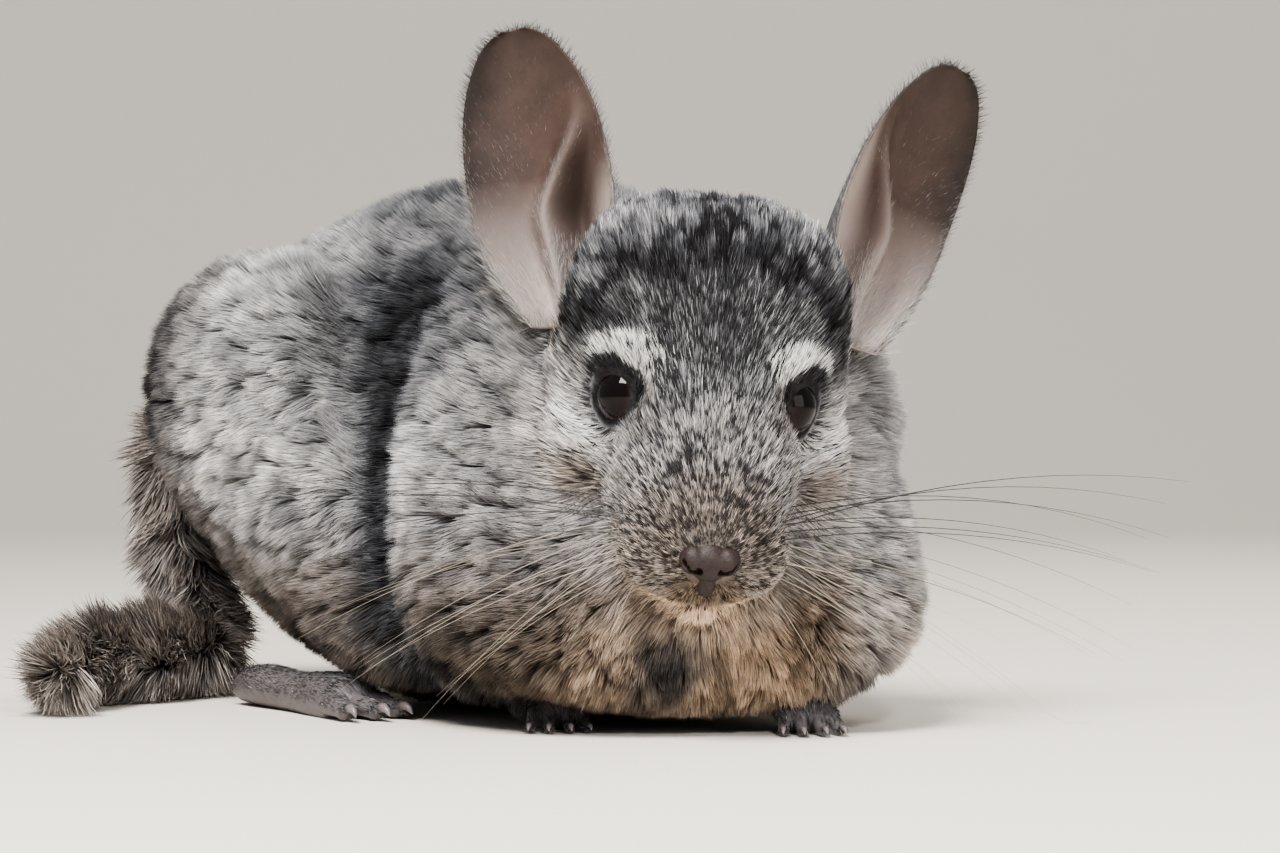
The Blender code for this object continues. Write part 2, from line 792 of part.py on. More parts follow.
def ear_core(side):
    """A thin cupped ear: a broad dish outside, and a fold with a pocket beside the head."""
    columns = 13
    front, behind = [], []
    for row in EAR_ROWS:
        for c in range(columns):
            point = ear_point(row, 2 * c / (columns - 1) - 1, side)
            thick = EAR_THICKNESS * (0.9 + 0.9 * math.sin(math.pi * c / (columns - 1)))
            front.append(point)
            behind.append(point - Vector((0, thick, 0)))
    return sheet("ear", front, behind, len(EAR_ROWS), columns, ear_place(side))


def sheet(name, front, behind, rows, columns, matrix):
    """A thin closed body between two like grids, split into triangles alike on both faces."""
    back = len(front)
    faces = []
    for i in range(rows - 1):
        for c in range(columns - 1):
            a = i * columns + c
            b, d, e = a + 1, a + columns, a + columns + 1
            faces += [(a, b, e), (a, e, d), (back + a, back + e, back + b), (back + a, back + d, back + e)]
    rim = list(range(columns)) + [columns * (i + 1) + columns - 1 for i in range(rows - 1)]
    rim += [columns * (rows - 1) + c for c in range(columns - 2, -1, -1)]
    rim += [columns * i for i in range(rows - 2, 0, -1)]
    for k, a in enumerate(rim):
        b = rim[(k + 1) % len(rim)]
        faces += [(a, back + a, back + b), (a, back + b, b)]
    return mesh_object(name, front + behind, faces, matrix)


def ear_place(side):
    """Places an ear: root on the skull, tip up and outwards, hollow towards the front and the side."""
    if side < 0:
        root, opens = HEAD @ at(-13, -28.0, 2.5), math.radians(54)
        lean_out, lean_back = math.radians(8.8), math.radians(10)
    else:
        root, opens = HEAD @ at(-14, 32.5, 1), math.radians(0)
        lean_out, lean_back = math.radians(21), math.radians(8)
    facing, beside = heading(math.radians(42))
    up = Vector((0, 0, 1)) * math.cos(lean_out) + beside * side * math.sin(lean_out)
    up = (up - facing * math.sin(lean_back)).normalized()
    opening, _ = heading(opens)
    opening = (opening - up * opening.dot(up)).normalized()
    turned = Matrix((opening.cross(up), opening, up)).transposed().to_4x4()
    return Matrix.Translation(root) @ turned


def main():
    clear_scene()
    dice = random.Random(7)
    grey = material("coat grey", FUR_GREY, 0.9)
    dark = material("coat slate", FUR_DARK, 0.9)
    pink = material("ear skin", SKIN_PINK, 0.6)
    black = material("eye", EYE_BLACK, 0.08)
    paw = material("paw skin", PAW_GREY, 0.6)

    head_smooth = head_core()
    neck = neck_core()
    torso = torso_core()
    haunches = {side: haunch_core(side) for side in (1, -1)}
    torso_smooth = copy_of(torso)
    neck_smooth = copy_of(neck)
    haunch_smooth = {side: copy_of(haunches[side]) for side in (1, -1)}

    # Eyes first, since the sockets are cut to them
    eyes = {side: eyeball(side) for side in (1, -1)}

    # Head with its lids, nose, mouth and whiskers
    head = copy_of(head_smooth)
    around_head = surfaces([torso_smooth, neck_smooth, *haunch_smooth.values()])
    additions = [lid_ring(1), lid_ring(-1), nose_pad(), *whiskers(around_head)]
    boolean(head, additions, "UNION")
    boolean(head, [eyeball(1, EYE_RADIUS + GAP), eyeball(-1, EYE_RADIUS + GAP)], "DIFFERENCE")
    boolean(head, [nostril(1), nostril(-1), philtrum(), mouth_line()], "DIFFERENCE")
    finish(head, "head", grey)

    # Ears stand on the head
    for side, word in ((1, "left"), (-1, "right")):
        ear = ear_core(side)
        boolean(ear, grown([head_smooth, neck_smooth, torso_smooth]), "DIFFERENCE")
        finish(ear, f"ear_{word}", pink)
        finish(eyes[side], f"eye_{word}", black)

    # Collar, cut clear of the head
    boolean(neck, coarse([head_smooth]), "DIFFERENCE")
    finish(neck, "neck", grey)

    # Legs
    paws = {
        1: (Vector((-1, -68, 0)) * MM, math.radians(34)),
        -1: (Vector((-32, -30, 0)) * MM, math.radians(38)),
    }
    elbows = {1: Vector((29, -44, 23)) * MM, -1: Vector((-40, -8, 22)) * MM}
    leg_parts = []
    for side, word in ((1, "left"), (-1, "right")):
        place, turn = paws[side]
        way, _ = heading(turn)
        palm, toes = forepaw_core(place, way)
        hand = [palm] + [piece for pair in toes for piece in pair]
        hand_smooth = [copy_of(piece) for piece in hand]
        boolean(palm, hand[1:], "UNION")
        cut_below_floor(palm)
        finish(palm, f"forepaw_{word}", paw)
        arm = foreleg_core(elbows[side], place)
        leg_parts += grown(hand_smooth)
        boolean(arm, grown(hand_smooth) + grown([torso_smooth, haunch_smooth[side]]), "DIFFERENCE")
        remove(hand_smooth)
        cut_below_floor(arm)
        finish(arm, f"foreleg_{word}", dark)

        sole, toes = hind_foot_core(side)
        foot = [sole] + [piece for pair in toes for piece in pair]
        foot_grown = grown(foot)
        boolean(sole, foot[1:], "UNION")
        cut_below_floor(sole)
        finish(sole, f"hind_foot_{word}", paw)
        leg_parts += foot_grown
        own_tree = surfaces([torso_smooth])
        starts = haunch_lock_starts(side, dice)
        thigh_locks = coat_locks(haunch_smooth[side], starts, 27 * MM, 14 * MM, own_tree, dice)
        leg_parts += grown(thigh_locks)
        boolean(haunches[side], thigh_locks, "UNION")
        boolean(haunches[side], [copy_of(p) for p in foot_grown], "DIFFERENCE")
        cut_below_floor(haunches[side])
        finish(haunches[side], f"haunch_{word}", grey)

    # Tail in two lengths, with its brush
    tail_root, tail_tip = tail_core(0, 5, "tail_root"), tail_core(5, 9, "tail_tip")
    body = [torso_smooth] + list(haunch_smooth.values())
    around_root = surfaces(body + [tail_tip])
    root_locks = tail_locks(2, 8, around_root, dice)
    around_tip = surfaces(body)
    tip_locks = tail_locks(11, 19, around_tip, dice)
    tip_grown = grown([tail_tip] + tip_locks)
    boolean(tail_tip, tip_locks, "UNION")
    boolean(tail_root, root_locks, "UNION")
    boolean(tail_root, tip_grown + grown(body), "DIFFERENCE")
    for piece in (tail_root, tail_tip):
        cut_below_floor(piece)
    finish(tail_root, "tail_root", dark)
    finish(tail_tip, "tail_tip", dark)

    # Torso last, cut clear of the collar, the head, the haunches and the feet
    ears_and_tail = [bpy.data.objects[name] for name in ("ear_left", "ear_right", "tail_root")]
    around_torso = surfaces([head_smooth] + ears_and_tail)
    starts = torso_lock_starts(dice)
    torso_locks = coat_locks(torso_smooth, starts, 29 * MM, 15 * MM, around_torso, dice)
    boolean(torso, torso_locks, "UNION")
    cutters = coarse([head_smooth], 0.34) + grown([neck_smooth]) + leg_parts
    cutters += coarse(list(haunch_smooth.values()), 0.75, 0.75 * MM)
    boolean(torso, cutters, "DIFFERENCE")
    cut_below_floor(torso)
    finish(torso, "torso", grey)
    remove([head_smooth, torso_smooth, neck_smooth] + list(haunch_smooth.values()))


main()
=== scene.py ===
"""A crouching chinchilla at life size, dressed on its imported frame.

One skin carries a coat of fine tufts. Eyes, claws and whiskers are pieces of their own.
Sizes are in metres, and in millimetres where a name or a comment says so.
"""

import math

import bmesh
import bpy
import numpy as np
from bpy.props import FloatProperty, FloatVectorProperty, IntProperty, PointerProperty
from bpy.types import Operator, Panel, PropertyGroup
from mathutils import Matrix, Vector
from mathutils.bvhtree import BVHTree
from mathutils.kdtree import KDTree


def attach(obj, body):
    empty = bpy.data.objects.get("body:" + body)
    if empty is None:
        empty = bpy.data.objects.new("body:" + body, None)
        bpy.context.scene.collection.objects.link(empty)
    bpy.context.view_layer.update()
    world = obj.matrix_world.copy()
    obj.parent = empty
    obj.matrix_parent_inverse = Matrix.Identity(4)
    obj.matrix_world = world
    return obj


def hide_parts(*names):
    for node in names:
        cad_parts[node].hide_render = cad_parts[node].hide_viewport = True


bl_info = {
    "name": "Chinchilla",
    "version": (1, 0, 0),
    "blender": (4, 5, 0),
    "location": "View3D > Sidebar > Chinchilla",
    "description": "Skin, coat, eyes and whiskers of a crouching chinchilla",
    "category": "Add Mesh",
}

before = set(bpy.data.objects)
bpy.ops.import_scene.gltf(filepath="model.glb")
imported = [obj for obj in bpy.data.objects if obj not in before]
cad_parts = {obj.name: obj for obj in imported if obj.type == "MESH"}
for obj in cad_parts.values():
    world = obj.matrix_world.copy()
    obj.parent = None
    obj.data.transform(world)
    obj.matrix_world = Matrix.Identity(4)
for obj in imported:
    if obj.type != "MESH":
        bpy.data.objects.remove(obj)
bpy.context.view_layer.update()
MM = 0.001
RNG_SEED = 21

# Head: the point midway between the eyes, and how the head turns, nods and leans
EYES_X, EYES_Y, EYES_Z = -24.7, -65.9, 64.2
HEAD_TURN = math.radians(35.0)
HEAD_NOD = math.radians(38.0)
HEAD_LEAN = math.radians(3.8)
EYE_AHEAD, EYE_HALF_SPREAD, EYE_ABOVE = 12.0, 15.2, 4.0
EYE_SET_BACK = 1.5
EYE_LOOKS_ASIDE = math.radians(54)

# Ears: length and greatest width in millimetres
EAR_LENGTH, EAR_WIDTH = 60.0, 29.5

UP = Vector((0, 0, 1))

# Voxels of the fused forms in millimetres
BODY_VOXEL, NOSE_VOXEL, NOSE_FINE_VOXEL, FOOT_VOXEL = 0.9, 0.36, 0.26, 0.45


def heading(angle):
    """(forward, left) for a heading turned from -Y towards -X."""
    sine, cosine = math.sin(angle), math.cos(angle)
    return Vector((-sine, -cosine, 0)), Vector((cosine, -sine, 0))


def head_frame():
    """The head's own axes: +X to the nose, +Y to the animal's left, +Z through the crown."""
    forward, left = heading(HEAD_TURN)
    nose = forward * math.cos(HEAD_NOD) - UP * math.sin(HEAD_NOD)
    crown = forward * math.sin(HEAD_NOD) + UP * math.cos(HEAD_NOD)
    lean = Matrix.Rotation(-HEAD_LEAN, 3, forward)
    axes = [lean @ nose, lean @ left, lean @ crown]
    eyes = Vector((EYES_X, EYES_Y, EYES_Z)) * MM
    middle = eyes - axes[0] * EYE_AHEAD * MM - axes[2] * EYE_ABOVE * MM
    return Matrix.Translation(middle) @ Matrix(axes).transposed().to_4x4()


HEAD = head_frame()
HEAD_TURNED = np.array(HEAD.to_3x3())
HEAD_MIDDLE = np.array(HEAD.translation)


def at(ahead, left, above):
    """A point in the head's own axes, given in millimetres."""
    return Vector((ahead, left, above)) * MM


def to_head(points):
    """Points as (ahead, left, above) in millimetres from the middle of the head."""
    return (points - HEAD_MIDDLE) @ HEAD_TURNED / MM


def eye_centre(side):
    return HEAD @ at(EYE_AHEAD - EYE_SET_BACK, side * EYE_HALF_SPREAD, EYE_ABOVE)


def eye_outlook(side):
    """The way the eye looks: well to the side, level with the floor."""
    forward, left = heading(HEAD_TURN)
    lean = Matrix.Rotation(-HEAD_LEAN, 3, forward)
    way = forward * math.cos(EYE_LOOKS_ASIDE) + left * side * math.sin(EYE_LOOKS_ASIDE)
    return (lean @ way).normalized()


# Meshes

def mesh_object(name, points, faces, matrix=None):
    mesh = bpy.data.meshes.new(name)
    mesh.from_pydata([tuple(p) for p in points], [], faces)
    if matrix is not None:
        mesh.transform(matrix)
    tidy = bmesh.new()
    tidy.from_mesh(mesh)
    bmesh.ops.recalc_face_normals(tidy, faces=tidy.faces)
    tidy.to_mesh(mesh)
    tidy.free()
    obj = bpy.data.objects.new(name, mesh)
    bpy.context.scene.collection.objects.link(obj)
    return obj


def remove(objects):
    for obj in objects:
        bpy.data.objects.remove(obj, do_unlink=True)


def bake_modifiers(obj):
    """Replaces the mesh by what its modifiers make of it."""
    graph = bpy.context.evaluated_depsgraph_get()
    graph.update()
    made = bpy.data.meshes.new_from_object(obj.evaluated_get(graph))
    obj.modifiers.clear()
    obj.data = made
    return obj


def joined(name, objects):
    """One object out of several, which keeps each one's material."""
    bpy.ops.object.select_all(action="DESELECT")
    for obj in objects:
        obj.select_set(True)
    bpy.context.view_layer.objects.active = objects[0]
    if len(objects) > 1:
        bpy.ops.object.join()
    whole = bpy.context.view_layer.objects.active
    whole.name = name
    whole.data.name = name
    return whole


def cut(obj, cutters):
    """Cuts closed meshes out of another, and removes them."""
    for cutter in cutters:
        step = obj.modifiers.new("cut", "BOOLEAN")
        step.object = cutter
        step.operation = "DIFFERENCE"
        step.solver = "EXACT"
    bake_modifiers(obj)
    remove(cutters)
    return obj


def fused(name, pieces, voxel, smoothing):
    """One smooth body out of overlapping closed pieces."""
    whole = joined(name, pieces)
    remesh = whole.modifiers.new("skin", "REMESH")
    remesh.mode = "VOXEL"
    remesh.voxel_size = voxel
    soften = whole.modifiers.new("soften", "SMOOTH")
    soften.iterations = smoothing
    soften.factor = 0.5
    return bake_modifiers(whole)


def ball(centre, radii, matrix=None, turns=(0.0, 0.0, 0.0), around=32, rings=20):
    """An ellipsoid in millimetres, turned about its own axes before the matrix places it."""
    work = bmesh.new()
    spin = Matrix.Identity(4)
    for angle, axis in zip(turns, "XYZ"):
        spin = Matrix.Rotation(math.radians(angle), 4, axis) @ spin
    size = Matrix.Diagonal((*[r * MM for r in radii], 1.0))
    own = Matrix.Translation(centre) @ spin @ size
    if matrix is not None:
        own = matrix @ own
    bmesh.ops.create_uvsphere(work, u_segments=around, v_segments=rings, radius=1.0, matrix=own)
    mesh = bpy.data.meshes.new("ball")
    work.to_mesh(mesh)
    work.free()
    obj = bpy.data.objects.new("ball", mesh)
    bpy.context.scene.collection.objects.link(obj)
    return obj


def smooth_rows(rows, steps):
    """Rows of sizes with smooth rows between them (Catmull-Rom)."""
    made = []
    last = len(rows) - 1
    for i in range(last):
        before, a, b, after = rows[max(i - 1, 0)], rows[i], rows[i + 1], rows[min(i + 2, last)]
        for k in range(steps):
            t = k / steps
            row = []
            for p, q, r, s in zip(before, a, b, after):
                curve = 2 * q + (r - p) * t + (2 * p - 5 * q + 4 * r - s) * t * t
                row.append((curve + (3 * q - p - 3 * r + s) * t**3) / 2)
            made.append(row)
    made.append(list(rows[-1]))
    return made


def loft(name, rings, first_pole, last_pole, matrix=None):
    """A closed skin over rings of equally many points, ended by a pole at each end."""
    count = len(rings[0])
    points = [p for ring in rings for p in ring] + [first_pole, last_pole]
    start, end = len(points) - 2, len(points) - 1
    faces = []
    for i in range(len(rings) - 1):
        for k in range(count):
            a, b = i * count + k, i * count + (k + 1) % count
            faces.append((a, b, b + count, a + count))
    tail = (len(rings) - 1) * count
    for k in range(count):
        after = (k + 1) % count
        faces.append((start, after, k))
        faces.append((end, tail + k, tail + after))
    return mesh_object(name, points, faces, matrix)


def tube(name, centres, radii, sides=16, flat=1.0, up=UP):
    """A tapering body along a line of centres, with a pole at each end."""
    rings = []
    for i, centre in enumerate(centres):
        ahead = centres[min(i + 1, len(centres) - 1)] - centres[max(i - 1, 0)]
        ahead.normalize()
        side = ahead.cross(up).normalized()
        top = side.cross(ahead).normalized()
        ring = []
        for k in range(sides):
            turn = 2 * math.pi * k / sides
            ring.append(centre + (side * math.cos(turn) + top * math.sin(turn) * flat) * radii[i])
        rings.append(ring)
    first = centres[0] - (centres[1] - centres[0]).normalized() * radii[0] * 0.6
    last = centres[-1] + (centres[-1] - centres[-2]).normalized() * radii[-1] * 0.8
    return loft(name, rings, first, last)


# Forms of the body, as in the frame

ROW_STEPS = 4


def squared(angle, power):
    """A point on a circle pressed towards its corners."""
    c, s = math.cos(angle), math.sin(angle)
    return math.copysign(abs(c) ** power, c), math.copysign(abs(s) ** power, s)


TORSO_ROWS = [
    # x, y, heading in degrees, half width, lowest, highest
    (-25, -68, 33, 25, 8, 33),
    (-21, -61, 33, 39, 2.5, 48),
    (-15, -50, 30, 48, 1.2, 68),
    (-8, -35, 22, 52.5, 0.3, 90),
    (-3, -17, 12, 52, -1.2, 105),
    (0, 2, 5, 47.5, -2.2, 111),
    (0, 20, 0, 45.5, -3.5, 112),
    (0, 42, 0, 47, -1, 111),
    (0, 62, 0, 46, 7, 107),
    (0, 80, 0, 41, 19, 99),
    (0, 94, 0, 30, 31, 86),
    (0, 102, 0, 17, 42, 72),
]


TORSO_POINTS = 48
WIDEST_AT = 0.42
TORSO_ROUNDNESS = 0.9
TORSO_NARROWER_ABOVE = 0.10


def body_ring(row):
    """One ring of the torso, widest a little below half its height."""
    x, y, turn, half_width, low, high = row
    _, left = heading(math.radians(turn))
    middle = Vector((x, y, low + (high - low) * WIDEST_AT)) * MM
    ring = []
    for k in range(TORSO_POINTS):
        across, rise = squared(2 * math.pi * k / TORSO_POINTS, TORSO_ROUNDNESS)
        width = half_width * (1 - TORSO_NARROWER_ABOVE * rise) * MM
        reach = (high * MM - middle.z) if rise > 0 else (middle.z - low * MM)
        ring.append(middle + left * across * width + Vector((0, 0, rise * reach)))
    return ring


def torso_form():
    rings = [body_ring(row) for row in smooth_rows(TORSO_ROWS, ROW_STEPS)]
    return loft("torso form", rings, Vector((-27, -72, 21)) * MM, Vector((0, 105, 57)) * MM)


def neck_form():
    place = Matrix.Translation(Vector((-1, -28, 59)) * MM)
    turn = Matrix.Rotation(math.radians(-30), 4, "Z")
    return ball((0, 0, 0), (44, 25, 43), place @ turn)


def ruff_form():
    """The full ruff behind the left cheek."""
    return ball(Vector((22, -45, 60)) * MM, (22, 18, 24))


HAUNCH_BALLS = [
    # place on the left side, radii, tilt and turn in degrees: thigh, shin, knee
    ((31, 55, 61), (26, 44, 36), 24, -4),
    ((32, 34, 44), (24, 38, 28), 30, 0),
    ((35, 19, 27), (19, 29, 21), 33, 0),
]


def haunch_form(side):
    balls = []
    for (x, y, z), radii, tilt, turn in HAUNCH_BALLS:
        balls.append(ball(Vector((side * x, y, z)) * MM, radii, turns=(tilt, 0, turn * side)))
    return joined("haunch form", balls)


HEAD_ROWS = [
    # ahead, half width, crown line, throat line, how much narrower above, roundness
    (-35, 14, 14, -13, 0.06, 0.80),
    (-31, 21, 24, -20, 0.07, 0.72),
    (-21, 27, 32.5, -27, 0.06, 0.62),
    (-9, 29.5, 35.5, -30.5, 0.07, 0.58),
    (0, 28.2, 33.5, -31.5, 0.10, 0.62),
    (7, 25.2, 28.4, -31, 0.15, 0.70),
    (13, 21.4, 22.2, -30, 0.18, 0.80),
    (20, 18.6, 15.8, -29, 0.16, 0.86),
    (27, 16.8, 10.0, -28, 0.12, 0.86),
    (34, 14.6, 4.6, -26.5, 0.10, 0.86),
    (40, 11.4, -0.4, -23.5, 0.08, 0.9),
    (44, 7.6, -4.0, -19, 0.05, 0.95),
]


HEAD_POINTS = 56


def skull_form():
    rings = []
    for row in smooth_rows(HEAD_ROWS, ROW_STEPS):
        ahead, half_width, crown, throat, narrowing, roundness = row
        middle, half_height = (crown + throat) / 2, (crown - throat) / 2
        ring = []
        for k in range(HEAD_POINTS):
            across, rise = squared(2 * math.pi * k / HEAD_POINTS, roundness)
            width = half_width * (1 - narrowing * rise)
            ring.append(at(ahead, across * width, middle + rise * half_height))
        rings.append(ring)
    return loft("skull", rings, at(-36, 0, 0), at(46.4, 0, -11), HEAD)


FACE_BALLS = [
    # place on the left side and radii: whisker pad, cheek, brow, lip
    ((33.5, 8.4, -13.5), (10, 8.2, 9.2)),
    ((3, 18.5, -14), (17, 11.5, 15)),
    ((6.5, 13.0, 13), (9, 7.0, 6.0)),
    ((40.6, 4.4, -15.0), (5.0, 4.6, 4.2)),
]
CHIN_BALLS = [((35.5, 0, -24), (7, 7.5, 5.2)), ((39.4, 0, -22.4), (4.6, 5.0, 3.3))]


def head_form():
    pieces = [skull_form()]
    for side in (1, -1):
        for (ahead, aside, above), radii in FACE_BALLS:
            pieces.append(ball(at(ahead, side * aside, above), radii, HEAD))
    pieces += [ball(at(*place), radii, HEAD) for place, radii in CHIN_BALLS]
    return joined("head form", pieces)


PAWS = {1: (Vector((-1, -68, 0)) * MM, 34.0), -1: (Vector((-32, -30, 0)) * MM, 38.0)}
ELBOWS = {1: Vector((29, -44, 23)) * MM, -1: Vector((-40, -8, 22)) * MM}
WRIST_HEIGHT, FORELEG_SAG = 7.0, 1.5
FORELEG_RADII = (12.5, 11.5, 9.6, 7.6, 6.0)


def foreleg_form(side):
    elbow, paw = ELBOWS[side], PAWS[side][0]
    wrist = paw + Vector((0, 0, WRIST_HEIGHT * MM))
    middle = (elbow + wrist) / 2 + Vector((0, 0, -FORELEG_SAG * MM))
    line = [elbow, (elbow + middle) / 2, middle, (middle + wrist) / 2, wrist]
    radii = [r * MM for r in FORELEG_RADII]
    return tube("foreleg", line, radii, sides=20, up=Vector((1, 0.2, 0)))


TAIL_LINE = [
    (-3, 92, 58), (-11, 106, 60), (-21.5, 110.5, 53), (-25, 106, 37), (-26.5, 97.5, 21),
    (-33, 88, 11.5), (-47, 82, 10), (-62, 79, 10), (-76, 72, 9.5), (-88, 61, 9),
]
TAIL_RADII = [6.2, 6.6, 7.0, 7.2, 7.4, 7.6, 7.8, 7.4, 6.2, 4.2]


def tail_rows(steps):
    return smooth_rows([(*p, r) for p, r in zip(TAIL_LINE, TAIL_RADII)], steps)


def tail_form():
    rows = tail_rows(ROW_STEPS)
    up = Vector((0.6, 0.6, 1)).normalized()
    line, radii = [Vector(r[:3]) * MM for r in rows], [r[3] * MM for r in rows]
    return tube("tail", line, radii, sides=20, up=up)


TOE_SHARES = (0.0, 0.3, 0.62, 0.9)
TOE_GIRTHS = (1.0, 1.06, 0.88, 0.86)
CLAW_ROWS = [
    # ahead of its root, above it and its radius, all as shares of the toe's radius
    (0.0, 0.0, 0.46),
    (0.7, 0.06, 0.40),
    (1.25, -0.2, 0.27),
    (1.6, -0.6, 0.08),
]


def toe(root, ahead, lean, length, radius):
    """A toe that arches forward from its root and comes down on its pad, and its claw."""
    way = (ahead + lean).normalized()
    centres = []
    for share, height in zip(TOE_SHARES, (root.z, root.z * 0.95, radius * 1.1, radius * 0.9)):
        point = root + way * length * share
        point.z = height
        centres.append(Vector(point))
    rows = smooth_rows([(*c, w) for c, w in zip(centres, TOE_GIRTHS)], ROW_STEPS)
    digit = tube("toe", [Vector(r[:3]) for r in rows], [radius * r[3] for r in rows], sides=14)
    tip = centres[-1] + way * radius * 0.55 + UP * radius * 0.3
    claw_line = [tip + way * radius * on + UP * radius * rise for on, rise, _ in CLAW_ROWS]
    claw = tube("claw", claw_line, [radius * row[2] for row in CLAW_ROWS], sides=10)
    return digit, claw


PALM_HEIGHT, PALM_RADII = 4.2, (7.2, 5.9, 4.6)
FINGER_RADIUS = 1.35
FINGERS = [
    # place across the palm and length
    (-4.2, 8.6),
    (-1.45, 10.2),
    (1.45, 10.2),
    (4.2, 8.6),
]


def forepaw(side):
    place, turn = PAWS[side]
    way, _ = heading(math.radians(turn))
    across = way.cross(UP)
    palm_middle = place + Vector((0, 0, PALM_HEIGHT * MM))
    turned = Matrix(((way.x, -across.x, 0), (way.y, -across.y, 0), (0, 0, 1))).to_4x4()
    flesh = [ball((0, 0, 0), PALM_RADII, Matrix.Translation(palm_middle) @ turned)]
    claws = []
    for place_across, length in FINGERS:
        root = palm_middle + across * place_across * MM + way * 2.6 * MM
        lean = across * place_across * 0.045
        digit, claw = toe(root, way, lean, length * MM, FINGER_RADIUS * MM)
        flesh.append(digit)
        claws.append(claw)
    return flesh, claws


SPLAY = math.radians(8)
HEEL_ASIDE, HEEL_BACK = 40, 60
SOLE_ROWS = [
    # ahead of the heel, half width, height
    (0, 4.2, 5.0),
    (8, 5.4, 5.6),
    (22, 5.2, 5.0),
    (34, 6.4, 4.8),
    (42, 6.8, 4.4),
]
HIND_TOES = [
    # place across the foot and length
    (-4.6, 11.5),
    (0.0, 14.0),
    (4.6, 12.0),
]
HIND_TOE_RADIUS, SMALL_TOE_RADIUS, SMALL_TOE_LENGTH = 2.3, 1.6, 7.5


def hind_foot(side):
    """A long narrow foot with three toes in front and a small one at its inner side."""
    ahead = Vector((side * math.sin(SPLAY), -math.cos(SPLAY), 0))
    heel = Vector((side * HEEL_ASIDE * MM, HEEL_BACK * MM, 0))
    rows = smooth_rows(SOLE_ROWS, 3)
    centres = [heel + ahead * r[0] * MM + UP * (r[2] - 1.2) * MM for r in rows]
    flesh = [tube("sole", centres, [r[1] * MM for r in rows], sides=18, flat=0.82)]
    claws = []
    across = ahead.cross(UP)
    plan = []
    for place, length in HIND_TOES:
        root = centres[-1] + across * place * MM - ahead * 1.5 * MM
        plan.append((root, across * place * 0.03, length, HIND_TOE_RADIUS))
    root = centres[-4] + across * side * 6.0 * MM
    plan.append((root, across * side * 0.2, SMALL_TOE_LENGTH, SMALL_TOE_RADIUS))
    for root, lean, length, radius in plan:
        digit, claw = toe(root, ahead, lean, length * MM, radius * MM)
        flesh.append(digit)
        claws.append(claw)
    return flesh, claws


# Ears

EAR_ROWS = [
    # share of the length, half width as a share of the widest, dish, fold, place of the fold
    (0.00, 0.36, 6.0, 3.0, 0.10),
    (0.10, 0.58, 7.2, 5.4, 0.10),
    (0.24, 0.85, 7.5, 7.0, 0.04),
    (0.38, 0.985, 6.8, 7.0, 0.00),
    (0.50, 1.00, 5.6, 5.6, 0.22),
    (0.61, 0.98, 4.8, 3.4, 0.50),
    (0.71, 0.92, 4.2, 1.2, 0.70),
    (0.81, 0.80, 3.4, 0.0, 0.80),
    (0.88, 0.665, 2.6, 0.0, 0.80),
    (0.94, 0.50, 1.8, 0.0, 0.80),
    (0.975, 0.33, 1.2, 0.0, 0.80),
    (0.995, 0.14, 0.6, 0.0, 0.80),
]


RIDGE_WIDTH = 0.20
POCKET_PLACE, POCKET_WIDTH, POCKET_DEPTH = 0.45, 0.28, 0.8
EAR_BOW = 3.0


def ear_point(row, v, side):
    """A point of the ear's hollow face. v runs from -1 at the outer rim to +1 at the inner rim."""
    share, half_width, dish, fold, place = row
    ridge = fold * math.exp(-(((v - place) / RIDGE_WIDTH) ** 2))
    beside = (v - place - POCKET_PLACE) / POCKET_WIDTH
    pocket = fold * POCKET_DEPTH * math.exp(-(beside**2)) * (1 - v * v)
    forward = (ridge - pocket - dish * (1 - v * v)) * MM
    bow = EAR_BOW * MM * math.sin(math.pi * share)
    aside = v * half_width * EAR_WIDTH / 2 * side * MM
    return Vector((aside, forward - bow, share * EAR_LENGTH * MM))


EAR_PLACES = {
    # side: root on the head, heading of its hollow, lean outwards and backwards in degrees
    -1: ((-13, -28.0, 2.5), 54, 8.8, 10),
    1: ((-14, 32.5, 1), 0, 21, 8),
}
EARS_HEADING = math.radians(42)


def ear_place(side):
    """Root on the skull, tip up and outwards, hollow towards the front and the side."""
    root, opens, lean_out, lean_back = EAR_PLACES[side]
    root = HEAD @ at(*root)
    facing, beside = heading(EARS_HEADING)
    lean_out, lean_back = math.radians(lean_out), math.radians(lean_back)
    up = UP * math.cos(lean_out) + beside * side * math.sin(lean_out)
    up = (up - facing * math.sin(lean_back)).normalized()
    opening, _ = heading(math.radians(opens))
    opening = (opening - up * opening.dot(up)).normalized()
    turned = Matrix((opening.cross(up), opening, up)).transposed().to_4x4()
    return Matrix.Translation(root) @ turned


EAR_COLUMNS = 49
EAR_STEPS = 5
EAR_RIM_THICKNESS, EAR_SWELLING = 0.55, 1.1


def ear_grid(side):
    """The points of the hollow face and of the back, row by row, in the ear's own axes."""
    rows = smooth_rows(EAR_ROWS, EAR_STEPS)
    front, behind = [], []
    for row in rows:
        for c in range(EAR_COLUMNS):
            v = 2 * c / (EAR_COLUMNS - 1) - 1
            point = ear_point(row, v, side)
            thick = (EAR_RIM_THICKNESS + EAR_SWELLING * math.sqrt(max(0.0, 1 - v * v))) * MM
            front.append(point)
            behind.append(point - Vector((0, thick, 0)))
    return rows, front, behind


# Painted shade in the pocket beside the fold: its middle and its width, by side
POCKET_SHADE = {-1: (0.36, 0.24), 1: (0.09, 0.09)}


